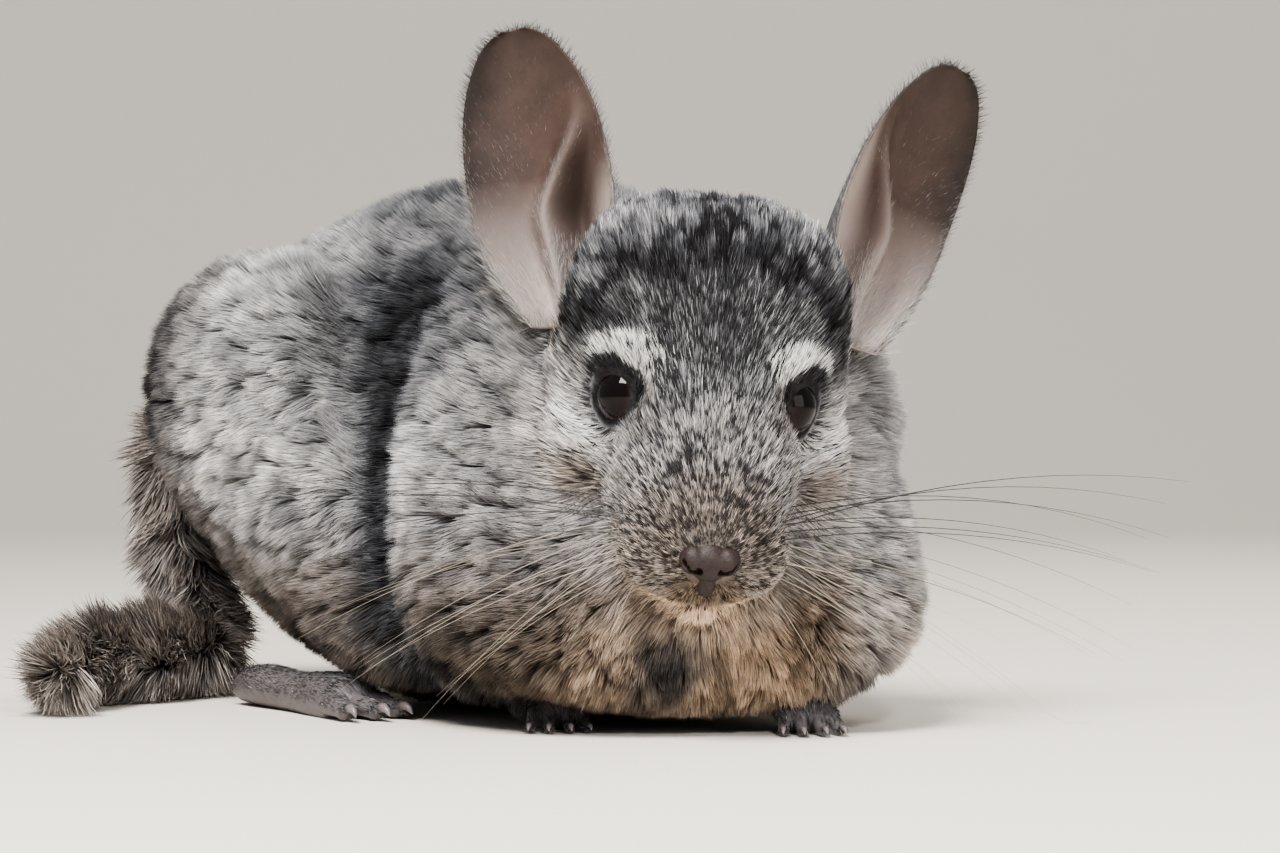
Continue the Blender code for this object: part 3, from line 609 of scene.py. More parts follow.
def ear_flesh(side):
    """The ear's sheet, closed round its rim, with the values that its skin is coloured by."""
    rows, front, behind = ear_grid(side)
    columns, back = EAR_COLUMNS, len(front)
    faces = []
    for i in range(len(rows) - 1):
        for c in range(columns - 1):
            a = i * columns + c
            b, d, e = a + 1, a + columns, a + columns + 1
            faces += [(a, b, e), (a, e, d)]
            faces += [(back + a, back + e, back + b), (back + a, back + d, back + e)]
    rim = list(range(columns)) + [columns * (i + 1) + columns - 1 for i in range(len(rows) - 1)]
    rim += [columns * (len(rows) - 1) + c for c in range(columns - 2, -1, -1)]
    rim += [columns * i for i in range(len(rows) - 2, 0, -1)]
    for k, a in enumerate(rim):
        b = rim[(k + 1) % len(rim)]
        faces += [(a, back + a, back + b), (a, back + b, b)]
    ear = mesh_object("ear flesh", front + behind, faces, ear_place(side))
    shares = np.repeat([row[0] for row in rows], columns)
    across = np.tile(np.linspace(-1, 1, columns), len(rows))
    set_values(ear, "ear_up", np.concatenate([shares, shares]))
    set_values(ear, "ear_across", np.concatenate([across, across]))
    set_values(ear, "ear_back", np.concatenate([np.zeros(back), np.ones(back)]))
    fold = np.repeat([row[3] / 7.0 for row in rows], columns)
    beside = across - np.repeat([row[4] for row in rows], columns)
    middle, wide = POCKET_SHADE[side]
    # Painted shade in the pocket beside the fold
    pocket = np.clip(fold, 0, 1) * np.exp(-(((beside - middle) / wide) ** 2))
    # Paler along the fold's ridge: partly pale hair, partly a painted highlight
    ridge = np.clip(fold, 0, 1) * np.exp(-((beside / 0.10) ** 2))
    set_values(ear, "ear_pocket_shade", np.concatenate([pocket, 0 * pocket]))
    set_values(ear, "ear_ridge", np.concatenate([ridge, 0 * ridge]))
    # Painted light: the inner wall of the dish paler, where light falls on it
    if side < 0:
        wall = ramp(across, 0.45, 0.95) * (1 - ramp(shares, 0.30, 0.62)) * 0.6
    else:
        wall = ramp(beside, 0.13, 0.30) * (1 - ramp(shares, 0.40, 0.90)) * 0.9
    set_values(ear, "ear_lit_wall", np.concatenate([wall, 0 * wall]))
    return ear


# Values on meshes

def set_values(obj, name, values):
    """A number for each point of the mesh, for its material to read."""
    attribute = obj.data.attributes.get(name) or obj.data.attributes.new(name, "FLOAT", "POINT")
    attribute.data.foreach_set("value", np.asarray(values, np.float32))


def points_of(obj):
    co = np.empty(len(obj.data.vertices) * 3, np.float32)
    obj.data.vertices.foreach_get("co", co)
    return co.reshape(-1, 3).astype(float)


def normals_of(obj):
    out = np.empty(len(obj.data.vertices) * 3, np.float32)
    obj.data.vertex_normals.foreach_get("vector", out)
    return out.reshape(-1, 3).astype(float)


def unit(vectors):
    return vectors / np.maximum(np.linalg.norm(vectors, axis=-1, keepdims=True), 1e-12)


def bump(points, centre, radii):
    """1 at the centre and falling smoothly to 0 outside the radii."""
    away = (points - np.array(centre)) / np.array(radii)
    return np.exp(-np.sum(away * away, axis=1))


def ramp(values, low, high):
    """0 below low, 1 above high, smooth between."""
    t = np.clip((values - low) / (high - low), 0, 1)
    return t * t * (3 - 2 * t)


def waves(points, size, seed):
    """Soft noise from -1 to 1 with blobs of about this size, made of crossing waves."""
    rng = np.random.default_rng(seed)
    total = np.zeros(len(points))
    for _ in range(7):
        way = unit(rng.normal(size=3))
        phase = points @ way * (2 * np.pi / size) * rng.uniform(0.6, 1.25)
        total += np.sin(phase + rng.uniform(0, 6.28))
    return np.clip(total / 3.2, -1, 1)


# Regions of the skin and the lie of the coat

REGIONS = [
    "head", "neck", "torso", "haunch_right", "haunch_left", "foreleg_right", "foreleg_left", "tail",
]
FORMS = {
    "head": head_form,
    "neck": lambda: joined("neck form", [neck_form(), ruff_form()]),
    "torso": torso_form,
    "haunch_right": lambda: haunch_form(-1),
    "haunch_left": lambda: haunch_form(1),
    "foreleg_right": lambda: foreleg_form(-1),
    "foreleg_left": lambda: foreleg_form(1),
    "tail": tail_form,
}


def tree_of(obj):
    mesh = obj.data
    return BVHTree.FromPolygons([v.co for v in mesh.vertices], [p.vertices for p in mesh.polygons])


REGION_BLEND = 2.0


def region_shares(points, trees):
    """How much each point belongs to each region, from how far it is outside each form."""
    away = np.empty((len(points), len(trees)))
    for i, point in enumerate(points):
        spot = Vector(point)
        for k, tree in enumerate(trees):
            near, normal, _, distance = tree.find_nearest(spot)
            away[i, k] = math.copysign(distance, (spot - near).dot(normal))
    nearest = away.min(axis=1, keepdims=True)
    shares = np.exp(-(away - nearest) / (REGION_BLEND * MM))
    return shares / shares.sum(axis=1, keepdims=True)


def lie_of_coat(points, normals, shares):
    """The way the hair runs: back from the nose, along the body and down its sides."""
    nose = np.array(HEAD @ at(50, 0, -10))
    from_nose = unit(points - nose)
    for side in (1, -1):
        centre = np.array(eye_centre(side))
        out = points - centre
        distance = np.linalg.norm(out, axis=1) / MM
        strength = 1.6 * np.exp(-(((distance - 6.0) / 4.5) ** 2))[:, None]
        from_nose = from_nose + unit(out) * strength
    x, y, z = points.T / MM
    front = 1 - ramp(y, -58, -22)
    sideways = np.where(x > -20, 1.0, -1.0) * ramp(np.abs(x + 20), 4, 40)
    along_body = np.stack([0 * x, 0 * x + 1.0, -0.42 * ramp(105 - z, 0, 50)], axis=1)
    down_chest = np.stack([0.65 * sideways, 0 * x + 0.25, 0 * x - 1.0], axis=1)
    torso = along_body * (1 - front)[:, None] + down_chest * front[:, None]
    neck = unit(from_nose) * 0.5 + np.stack([0 * x, 0 * x + 0.6, 0 * x - 0.55], axis=1)
    haunch = np.stack([0 * x, 0 * x + 0.85, 0 * x - 0.5], axis=1)
    tail = tail_way(points)
    legs = {}
    for side in (1, -1):
        way = (PAWS[side][0] - ELBOWS[side]).normalized()
        legs[side] = np.tile(np.array(way), (len(points), 1))
    ways = [from_nose, neck, torso, haunch, haunch, legs[-1], legs[1], tail]
    total = sum(unit(way) * shares[:, k : k + 1] for k, way in enumerate(ways))
    total = total - normals * np.sum(total * normals, axis=1, keepdims=True)
    return unit(total)


def tail_way(points):
    line = np.array([row[:3] for row in tail_rows(3)]) * MM
    middles, ways = (line[1:] + line[:-1]) / 2, unit(line[1:] - line[:-1])
    nearest = np.argmin(((points[:, None, :] - middles[None]) ** 2).sum(axis=2), axis=1)
    return ways[nearest]


BROW_SPOTS = [
    # middle on the left side and radius of the white patch above the eye
    ((9.6, 20.2, 10.6), 3.6),
    ((12.2, 17.2, 13.4), 4.4),
    ((14.4, 13.4, 14.8), 4.0),
]
MUZZLE_SPOTS = [
    # middle on the left side, radii, strength, light, spread, warmth
    ((19.5, 22.5, -10.0), (4, 4, 2.8), 0.8, 0.36, 0.16, 0.8),
    ((27.5, 17.5, -5.0), (6, 5, 3.2), 0.5, 0.36, 0.2, 0.5),
    ((21.5, 13.5, 6.5), (4.5, 3.0, 6.0), 0.45, 0.30, 0.25, 0.4),
]


def markings_and_shade(points, shares):
    """(how light, how far single hairs differ, how warm) for each point, each from 0 to 1: the
    coat's markings, with painted shade and painted bounced light on the body.

    Each mask is painted over what is there: paint(mask, light, spread, warmth). Limits are in
    millimetres, on the head in its own axes: a ahead, l to the left, u above its middle.
    """
    q = to_head(points)
    a, l, u = q.T
    x, y, z = points.T / MM
    head = shares[:, 0]
    speckle = waves(points, 7 * MM, 3)
    soft = waves(points, 16 * MM, 4)

    # Head
    light = 0.63 + 0.06 * soft
    spread = np.full(len(points), 0.22)
    warm = 0.12 + 0.30 * ramp(np.abs(l), 13, 22) * (1 - ramp(u, -14, -4))

    def paint(mask, to_light, to_spread=None, to_warm=None):
        nonlocal light, spread, warm
        light = light + (to_light - light) * mask
        if to_spread is not None:
            spread = spread + (to_spread - spread) * mask
        if to_warm is not None:
            warm = warm + (to_warm - warm) * mask

    above_brows = ramp(u, 4, 16) * ramp(-a, -19, -11)
    paint(above_brows, 0.37 - 0.08 * ramp(np.abs(l), 11, 18) + 0.10 * speckle, 0.30, 0.05)
    crown = ramp(u, 4, 16) * ramp(-a, -5, 1)
    crown_sides = np.exp(-(((np.abs(l) - 17) / 8) ** 2))
    crown_middle = np.exp(-(((l + 1) / 4) ** 2))
    paint(crown, 0.20 + 0.12 * speckle + 0.28 * crown_sides - 0.12 * crown_middle, 0.22, 0.05)
    nape = ramp(-a, 14, 26)
    paint(nape, 0.50 + 0.10 * soft, 0.18, 0.05)
    ragged = 1.6 * waves(points, 6 * MM, 11) + 1.0 * waves(points, 3.4 * MM, 12)
    brow_band = np.exp(-(((a - 2.9 + ragged) / 2.4) ** 2)) * ramp(u, 1, 9)
    paint(np.clip(brow_band * 1.2, 0, 1), 0.06, 0.10, 0.05)
    forehead = ramp(a, 12, 15) * (1 - ramp(a, 18, 27)) * ramp(u, 5, 11)
    paint(forehead * (1 - ramp(np.abs(l), 8, 14)) * 0.6, 0.42, 0.27, 0.05)
    streak = ramp(a, 8, 12) * (1 - ramp(a, 17, 23)) * ramp(u, 6, 10)
    paint(streak * np.exp(-(((l - 1.5) / 3.2) ** 2)) * 0.7, 0.18, 0.18, 0.05)
    snout = ramp(a, 29, 40) * ramp(u, -16, -8)
    paint(snout * 0.85, 0.50, 0.24, 0.62)
    pads = ramp(a, 24, 32) * (1 - ramp(u, -12, -6))
    paint(pads * 0.8, 0.62, 0.20, 0.55)
    lip = ramp(a, 38, 42) * ramp(u, -19.5, -17.5) * (1 - ramp(u, -13, -11))
    paint(lip * (1 - ramp(np.abs(l), 4, 8)) * 0.8, 0.42, 0.12, 1.0)
    # Painted shade: a thin dark line where the upper lip meets the chin
    mouth_shade = ramp(a, 36, 40) * np.exp(-(((u + 19.2) / 0.9) ** 2))
    paint(mouth_shade * 0.7, 0.22, 0.08, 0.9)
    chin = ramp(a, 34, 39) * (1 - ramp(u, -20.5, -17.5))
    paint(chin, 0.97, 0.05, 0.85)
    throat = (1 - ramp(u, -28, -22)) * ramp(a, 5, 20) * (1 - chin)
    paint(throat * 0.7, 0.50, 0.15, 0.6)
    for side in (1, -1):
        near = side * l
        spot = np.stack([a, near, u], axis=1)
        temple = bump(spot, (1, 26, 10), (4.5, 5, 6))
        paint(temple * 0.8, 0.12, 0.12, 0.25)
        cheek = np.clip(bump(spot, (12.0, 22.5, -4.5), (9, 8, 4.2)) * 1.2, 0, 1)
        paint(cheek * 0.9, 0.95, 0.08, 0.03)
        brow = np.zeros(len(points))
        for middle, wide in BROW_SPOTS:
            brow = np.maximum(brow, bump(spot, middle, (wide, wide, wide)))
        paint(ramp(brow, 0.24, 0.42), 1.0, 0.02, 0.02)
        for middle, radii, strength, to_light, to_spread, to_warm in MUZZLE_SPOTS:
            paint(bump(spot, middle, radii) * strength, to_light, to_spread, to_warm)
        # Dark rim round each eye: dark lids and hair, and above the eye a wider band that is partly
        # painted shade under the brow
        centre = np.array(eye_centre(side))
        ring = np.linalg.norm(points - centre, axis=1) / MM
        above = ramp(u, 5.0, 9.0)
        paint(1 - ramp(ring, 6.9 + 1.2 * above, 7.6 + 1.4 * above), 0.03, 0.03, 0.1)
    below_ear = bump(q, (-6, -29, 3), (5, 5, 5))
    paint(below_ear * 0.8, 0.40, 0.2, 0.9)
    head_light, head_spread, head_warm = light, spread, warm

    # Body
    light = 0.78 + 0.05 * soft + 0.07 * waves(points, 9 * MM, 6) + 0.06 * waves(points, 5 * MM, 7)
    spread = np.full(len(points), 0.10)
    far_side = ramp(0.82 * x - 0.57 * y, 34, 48)
    # Painted light: the warm tint low on the body stands in for warm light bounced up from the
    # floor, weaker on the far side
    warm = 0.08 + 0.80 * (1 - ramp(z, 8, 46)) * (1 - 0.7 * far_side)
    # Painted shade: the flanks darker low down towards the floor, less so on the far side above the
    # floor
    paint((1 - ramp(z, 13, 46)) * (1 - 0.8 * far_side * ramp(z, 6, 20)), 0.33, 0.10)
    back = ramp(z, 88, 106) * (1 - ramp(np.abs(x), 20, 44))
    paint(back * 0.9, 0.36 + 0.12 * soft, 0.12, 0.02)
    # Darker band from the back down the crease between shoulder and haunch: partly the darker fur
    # of the back, partly painted shade in the crease
    saddle_y = 5 + 0.16 * (z - 55)
    saddle_half = 7.0 + 0.42 * np.clip(z - 52, 0, 60)
    saddle_shade = np.exp(-(((y - saddle_y) / saddle_half) ** 2)) * ramp(np.abs(x), 18, 34)
    paint(np.clip(saddle_shade * 1.25, 0, 1), 0.13 + 0.06 * soft, 0.10, 0.0)
    # Painted shade: the far end of the rump darkens as it turns away from the light
    rump_shade = ramp(y, 55, 78)
    paint(rump_shade * 0.88, 0.17 + 0.04 * soft, 0.12, 0.30)
    # Chest: beige, its warmth partly painted light bounced up from the floor, and darker at the
    # bottom in front as painted shade near the floor
    chest = (1 - ramp(y, -62, -38)) * (1 - ramp(z, 20, 40)) * (1 - 0.85 * far_side)
    shade_near_floor = (1 - ramp(z, 5, 15)) * (1 - ramp(0.743 * x - 0.669 * y, -6, 6))
    paint(chest * 0.9, 0.84 - 0.45 * shade_near_floor + 0.07 * waves(points, 8 * MM, 8), 0.12, 0.92)
    cracks = ramp(waves(points * np.array((1.0, 1.0, 0.22)), 8 * MM, 9), 0.25, 0.65)
    paint(chest * cracks * 0.55, 0.36, 0.10, 1.0)
    # Painted shade: a dark cleft under the chin, between head and chest
    paint(np.clip(bump(points / MM, (-31, -68, 15), (4.2, 14, 9)) * 1.3, 0, 1), 0.06, 0.05, 0.5)
    collar = bump(points / MM, (23, -58, 58), (5, 10, 30))
    paint(collar * 0.45, 0.42, 0.15, 0.1)
    # Painted shade: darker along the underside, next to the floor
    belly_shade = 1 - ramp(z, 2, 12)
    paint(belly_shade * 0.5, 0.30, 0.10, 0.4)
    # Legs darker: grey fur, and partly painted shade under the chest
    paint(shares[:, 5] + shares[:, 6], 0.27, 0.14, 0.15)
    tail = shares[:, 7]
    paint(tail, 0.66 + 0.08 * speckle, 0.18, 0.40)
    haunches = shares[:, 3] + shares[:, 4]
    # Painted shade: darker under the haunch, where it hangs over the foot
    shade_under_haunch = 1 - ramp(z - 0.75 * (y - 30) * ramp(y, 30, 70), 18, 36)
    paint(haunches * shade_under_haunch * 0.6, 0.45, 0.12, 0.4)

    def mixed(on_head, on_body):
        return np.clip(on_head * head + on_body * (1 - head), 0, 1)

    return mixed(head_light, light), mixed(head_spread, spread), mixed(head_warm, warm)


# Tufts

def roots_on(obj, density, rng, faces=None):
    """Random roots, as (triangle, corner weights), from a density given for each point."""
    mesh = obj.data
    mesh.calc_loop_triangles()
    corners = np.empty(len(mesh.loop_triangles) * 3, np.int32)
    mesh.loop_triangles.foreach_get("vertices", corners)
    corners = corners.reshape(-1, 3)
    co = points_of(obj)
    a, b, c = co[corners[:, 0]], co[corners[:, 1]], co[corners[:, 2]]
    area = np.linalg.norm(np.cross(b - a, c - a), axis=1) / 2 / (MM * MM)
    expected = area * density[corners].mean(axis=1)
    if faces is not None:
        expected = expected * faces(corners)
    count = np.floor(expected + rng.random(len(expected))).astype(int)
    chosen = np.repeat(np.arange(len(corners)), count)
    first, second = np.sqrt(rng.random(len(chosen))), rng.random(len(chosen))
    weights = np.stack([1 - first, first * (1 - second), first * second], axis=1)
    return corners[chosen], weights


def taken(values, corners, weights):
    """Values given for each point of a mesh, read at the roots."""
    if values.ndim == 1:
        return (values[corners] * weights).sum(axis=1)
    return (values[corners] * weights[:, :, None]).sum(axis=1)


def clumps(roots, spacing, rng):
    """For each root (the root in the middle of its clump, distance as a share of the spacing)."""
    chance = np.clip(1.0 / np.maximum(roots_per_clump(roots, spacing), 1.0), 0, 1)
    keep = rng.random(len(roots)) < chance
    middles = np.flatnonzero(keep)
    if len(middles) == 0:
        middles = np.array([0])
    tree = KDTree(len(middles))
    for i, m in enumerate(middles):
        tree.insert(roots[m], i)
    tree.balance()
    owner = np.empty(len(roots), int)
    away = np.empty(len(roots))
    for i, root in enumerate(roots):
        _, k, distance = tree.find(root)
        owner[i], away[i] = middles[k], distance
    return owner, away / spacing


CELL = 6 * MM
CELL_PRIMES = (73856093, 19349663, 83492791)
SKIN_IN_CELL = 1.1
CLUMP_AREA = 0.9


def roots_per_clump(roots, spacing):
    """How many roots lie in one clump, from the roots in small cells of space."""
    keys = np.floor(roots / CELL).astype(np.int64)
    first, second, third = (keys[:, k] * prime for k, prime in enumerate(CELL_PRIMES))
    _, index, number = np.unique(
        first ^ second ^ third, return_inverse=True, return_counts=True
    )
    per_area = number[index.reshape(-1)] / (CELL * CELL * SKIN_IN_CELL)
    return per_area * spacing * spacing * CLUMP_AREA


def octahedron(ways):
    """Directions laid out on a square, as the faces of an octahedron unfold."""
    flat = ways / np.abs(ways).sum(axis=1, keepdims=True)
    u, v = flat[:, 0].copy(), flat[:, 1].copy()
    below = flat[:, 2] < 0
    fold_u = (1 - np.abs(v)) * np.where(u >= 0, 1, -1)
    fold_v = (1 - np.abs(u)) * np.where(v >= 0, 1, -1)
    u[below], v[below] = fold_u[below], fold_v[below]
    return np.stack([u, v], axis=1) * 0.49 + 0.5


# Side of a tuft's patch on the layout, how deep a tuft is rooted, and how far it rolls
PATCH = 0.003
ROOT_DEPTH = 0.35 * MM
LOWEST_HAIR = 0.35 * MM
ROLL = 0.75
PATH_STEPS = 8

BLADES = {
    # parts of a tuft: places along it, and its width at each but the tip, as a share
    1: ((0.0, 1.0), (1.0,)),
    2: ((0.0, 0.55, 1.0), (0.85, 0.8)),
    3: ((0.0, 0.38, 0.74, 1.0), (0.75, 1.0, 0.66)),
}


def tufts(name, roots, normals, ways, look, rng, places, parts=3, floor=LOWEST_HAIR):
    """One mesh of flat tapering tufts.

    look holds an array for each of length, width, lift, bend, light, warm, pull and tips, where
    lift is the angle off the skin at the root, and pull how far a tip goes to that of its clump.
    """
    count = len(roots)
    length, width, lift = look["length"], look["width"], look["lift"]
    stations, thickness = (np.array(row) for row in BLADES[parts])
    here = roots - normals * ROOT_DEPTH
    line = [here]
    for k in range(1, PATH_STEPS + 1):
        s = (k - 0.5) / PATH_STEPS
        angle = lift * (1 - look["bend"] * s)
        step = ways * np.cos(angle)[:, None] + normals * np.sin(angle)[:, None]
        here = here + step * (length / PATH_STEPS)[:, None]
        line.append(here)
    path = np.stack(line)
    on_path = stations * PATH_STEPS
    low = np.minimum(np.floor(on_path).astype(int), PATH_STEPS - 1)
    part = on_path - low
    spine = path[low] * (1 - part)[:, None, None] + path[low + 1] * part[:, None, None]
    shift = look["tips"] - spine[-1]
    for k, s in enumerate(stations):
        spine[k] += shift * (look["pull"] * s * s)[:, None]
    spine[:, :, 2] = np.maximum(spine[:, :, 2], floor)
    run = unit(spine[-1] - spine[0])
    side = unit(np.cross(run, normals) + 1e-9)
    top = np.cross(side, run)
    roll = rng.normal(0, ROLL, count)
    side = side * np.cos(roll)[:, None] + top * np.sin(roll)[:, None]
    points, along = [], []
    for k, share in enumerate(thickness):
        half = side * (width * share / 2)[:, None]
        points += [spine[k] - half, spine[k] + half]
        along += [stations[k]] * 2
    points.append(spine[-1])
    along.append(1.0)
    per = len(points)
    vertices = np.stack(points, axis=1).reshape(-1, 3)
    vertices[:, 2] = np.maximum(vertices[:, 2], floor)
    rings = len(thickness)
    base = np.arange(count)[:, None] * per
    pattern = []
    for k in range(rings - 1):
        pattern += [2 * k, 2 * k + 1, 2 * k + 3, 2 * k + 2]
    pattern = np.array(pattern + [2 * rings - 2, 2 * rings - 1, 2 * rings])
    loops = (base + pattern[None]).reshape(-1)
    sizes = np.tile(np.array([4] * (rings - 1) + [3]), count)
    mesh = bpy.data.meshes.new(name)
    mesh.vertices.add(len(vertices))
    mesh.vertices.foreach_set("co", vertices.astype(np.float32).ravel())
    mesh.loops.add(len(loops))
    mesh.loops.foreach_set("vertex_index", loops.astype(np.int32))
    mesh.polygons.add(len(sizes))
    starts = np.concatenate([[0], np.cumsum(sizes)[:-1]])
    mesh.polygons.foreach_set("loop_start", starts.astype(np.int32))
    mesh.update(calc_edges=True)
    mesh.validate()
    along = np.tile(np.array(along), count)
    obj = bpy.data.objects.new(name, mesh)
    bpy.context.scene.collection.objects.link(obj)
    set_values(obj, "along", along)
    set_values(obj, "light", np.repeat(look["light"], per))
    set_values(obj, "warm", np.repeat(look["warm"], per))
    uv = mesh.uv_layers.new(name="OFBake")
    sideways = np.array([-1, 1] * rings + [0.0])
    patch_u = np.tile(sideways, count) * PATCH / 2
    patch_v = along * PATCH - PATCH / 2
    spot = np.repeat(places, per, axis=0) + np.stack([patch_u, patch_v], axis=1)
    uv.data.foreach_set("uv", spot[loops].astype(np.float32).ravel())
    mesh.shade_smooth()
    return obj


# Materials

def new_material(name):
    made = bpy.data.materials.new(name)
    made.use_nodes = True
    tree = made.node_tree
    shader = tree.nodes["Principled BSDF"]
    return made, tree, shader


def node(tree, kind, **values):
    made = tree.nodes.new(kind)
    for key, value in values.items():
        if key in made.inputs:
            made.inputs[key].default_value = value
        else:
            setattr(made, key, value)
    return made


def attribute(tree, name):
    return node(tree, "ShaderNodeAttribute", attribute_name=name).outputs["Fac"]


def maths(tree, operation, *values, clamp=False):
    made = tree.nodes.new("ShaderNodeMath")
    made.operation = operation
    made.use_clamp = clamp
    for socket, value in zip(made.inputs, values):
        if isinstance(value, (int, float)):
            socket.default_value = value
        else:
            tree.links.new(value, socket)
    return made.outputs[0]


def mix(tree, share, first, second, blend="MIX"):
    made = tree.nodes.new("ShaderNodeMix")
    made.data_type = "RGBA"
    made.blend_type = blend
    sockets = [made.inputs[0], made.inputs[6], made.inputs[7]]
    for socket, value in zip(sockets, (share, first, second)):
        if isinstance(value, (int, float)):
            socket.default_value = value
        elif isinstance(value, (tuple, list)):
            socket.default_value = (*value[:3], 1.0)
        else:
            tree.links.new(value, socket)
    return made.outputs[2]


def colour_ramp(tree, value, stops):
    made = tree.nodes.new("ShaderNodeValToRGB")
    elements = made.color_ramp.elements
    while len(elements) < len(stops):
        elements.new(0.5)
    for element, (place, colour) in zip(elements, stops):
        element.position = place
        element.color = (*colour[:3], 1.0)
    tree.links.new(value, made.inputs["Fac"])
    return made.outputs["Color"]


def noise(tree, scale, detail=3.0, rough=0.55):
    where = tree.nodes.new("ShaderNodeTexCoord")
    made = node(tree, "ShaderNodeTexNoise", Scale=scale, Detail=detail, Roughness=rough)
    tree.links.new(where.outputs["Object"], made.inputs["Vector"])
    return made.outputs["Fac"]


def darker(colour, share):
    return tuple(c * share for c in colour)


def coat_colour(tree, light, colours):
    """From black to white by how light the hair is, tinted by how warm it is."""
    stops = [
        (0.0, colours.black),
        (0.24, colours.slate),
        (0.55, colours.grey),
        (0.82, colours.pale),
        (1.0, colours.white),
    ]
    base = colour_ramp(tree, light, stops)
    tint = mix(tree, attribute(tree, "warm"), (1.0, 1.0, 1.0), tuple(colours.warm))
    return mix(tree, 1.0, base, tint, "MULTIPLY")


def roughened(tree, shader, scale, detail, strength, distance):
    """Gives the surface a bump of fine noise."""
    relief = node(tree, "ShaderNodeBump", Strength=strength, Distance=distance)
    tree.links.new(noise(tree, scale, detail), relief.inputs["Height"])
    tree.links.new(relief.outputs["Normal"], shader.inputs["Normal"])


def coat_material(colours):
    made, tree, shader = new_material("coat hair")
    light = attribute(tree, "light")
    along = attribute(tree, "along")
    rise = maths(tree, "MULTIPLY_ADD", along, 0.30, 0.76)
    shaded = maths(tree, "MULTIPLY", light, rise, clamp=True)
    grain = maths(tree, "MULTIPLY_ADD", noise(tree, 900.0, 2.0), 0.14, -0.07)
    shaded = maths(tree, "ADD", shaded, grain, clamp=True)
    tree.links.new(coat_colour(tree, shaded, colours), shader.inputs["Base Color"])
    shader.inputs["Roughness"].default_value = 0.62
    shader.inputs["Specular IOR Level"].default_value = 0.12
    return made


def skin_material(colours):
    """Hide under the coat: the same markings and painted shade, darker, as at the roots of the
    hair.
    """
    made, tree, shader = new_material("hide")
    light = maths(tree, "MULTIPLY", attribute(tree, "light"), 0.62)
    grain = maths(tree, "MULTIPLY_ADD", noise(tree, 500.0), 0.2, -0.1)
    shaded = maths(tree, "ADD", light, grain, clamp=True)
    tree.links.new(coat_colour(tree, shaded, colours), shader.inputs["Base Color"])
    shader.inputs["Roughness"].default_value = 0.85
    shader.inputs["Specular IOR Level"].default_value = 0.15
    roughened(tree, shader, 1400.0, 4.0, 0.6, 0.0006)
    return made


def bare_skin(name, colour, deep, roughness, scale, strength):
    """Bare skin: two tones through fine noise, with a pebbled bump."""
    made, tree, shader = new_material(name)
    share = maths(tree, "MULTIPLY_ADD", noise(tree, scale * 0.35, 3.0), 1.6, -0.3, clamp=True)
    tree.links.new(mix(tree, share, tuple(colour), tuple(deep)), shader.inputs["Base Color"])
    shader.inputs["Roughness"].default_value = roughness
    shader.inputs["Specular IOR Level"].default_value = 0.4
    roughened(tree, shader, scale, 3.0, strength, 0.0003)
    return made


def ear_material(colours):
    """Ear skin: pinkish in the dish, darker to the rim and the tip, grey behind; painted shade in
    the pocket beside the fold, painted light on its inner wall, and a paler ridge that is partly a
    painted highlight.
    """
    made, tree, shader = new_material("ear skin")
    up, across, behind = (attribute(tree, n) for n in ("ear_up", "ear_across", "ear_back"))
    outer_side = maths(tree, "MAXIMUM", maths(tree, "MULTIPLY", across, -1.0), 0.0)
    edge = maths(tree, "POWER", outer_side, 2.4)
    top = maths(tree, "POWER", up, 2.0)
    edge, top = maths(tree, "MULTIPLY", edge, 0.9), maths(tree, "MULTIPLY", top, 0.5)
    dark = maths(tree, "ADD", edge, top, clamp=True)
    mottle = maths(tree, "MULTIPLY_ADD", noise(tree, 110.0, 5.0, 0.7), 1.3, -0.65)
    dark = maths(tree, "ADD", dark, mottle, clamp=True)
    inside = mix(tree, dark, tuple(colours.ear_pink), tuple(colours.ear_dark))
    root = maths(tree, "SUBTRACT", 1.0, maths(tree, "MULTIPLY", up, 1.9), clamp=True)
    inside = mix(tree, maths(tree, "MULTIPLY", root, 0.85), inside, tuple(colours.ear_pale))
    # Painted shade in the pocket beside the fold
    hollow = darker(colours.ear_pink, 0.8)
    inside = mix(tree, maths(tree, "MULTIPLY", attribute(tree, "ear_pocket_shade"), 0.9), inside, hollow)
    # Paler along the fold's ridge: partly pale hair, partly a painted highlight
    ridge = maths(tree, "MULTIPLY", attribute(tree, "ear_ridge"), 0.2)
    inside = mix(tree, ridge, inside, tuple(colours.ear_pale))
    # Painted light: the inner wall of the dish paler, where light falls on it
    inside = mix(tree, attribute(tree, "ear_lit_wall"), inside, tuple(colours.ear_pale))
    outer = mix(tree, mottle, tuple(colours.slate), tuple(colours.grey))
    tree.links.new(mix(tree, behind, inside, outer), shader.inputs["Base Color"])
    shader.inputs["Roughness"].default_value = 0.55
    shader.inputs["Specular IOR Level"].default_value = 0.2
    shader.inputs["Subsurface Weight"].default_value = 0.12
    shader.inputs["Subsurface Radius"].default_value = (0.004, 0.0015, 0.001)
    shader.inputs["Subsurface Scale"].default_value = 0.3
    roughened(tree, shader, 700.0, 4.0, 0.35, 0.0003)
    return made


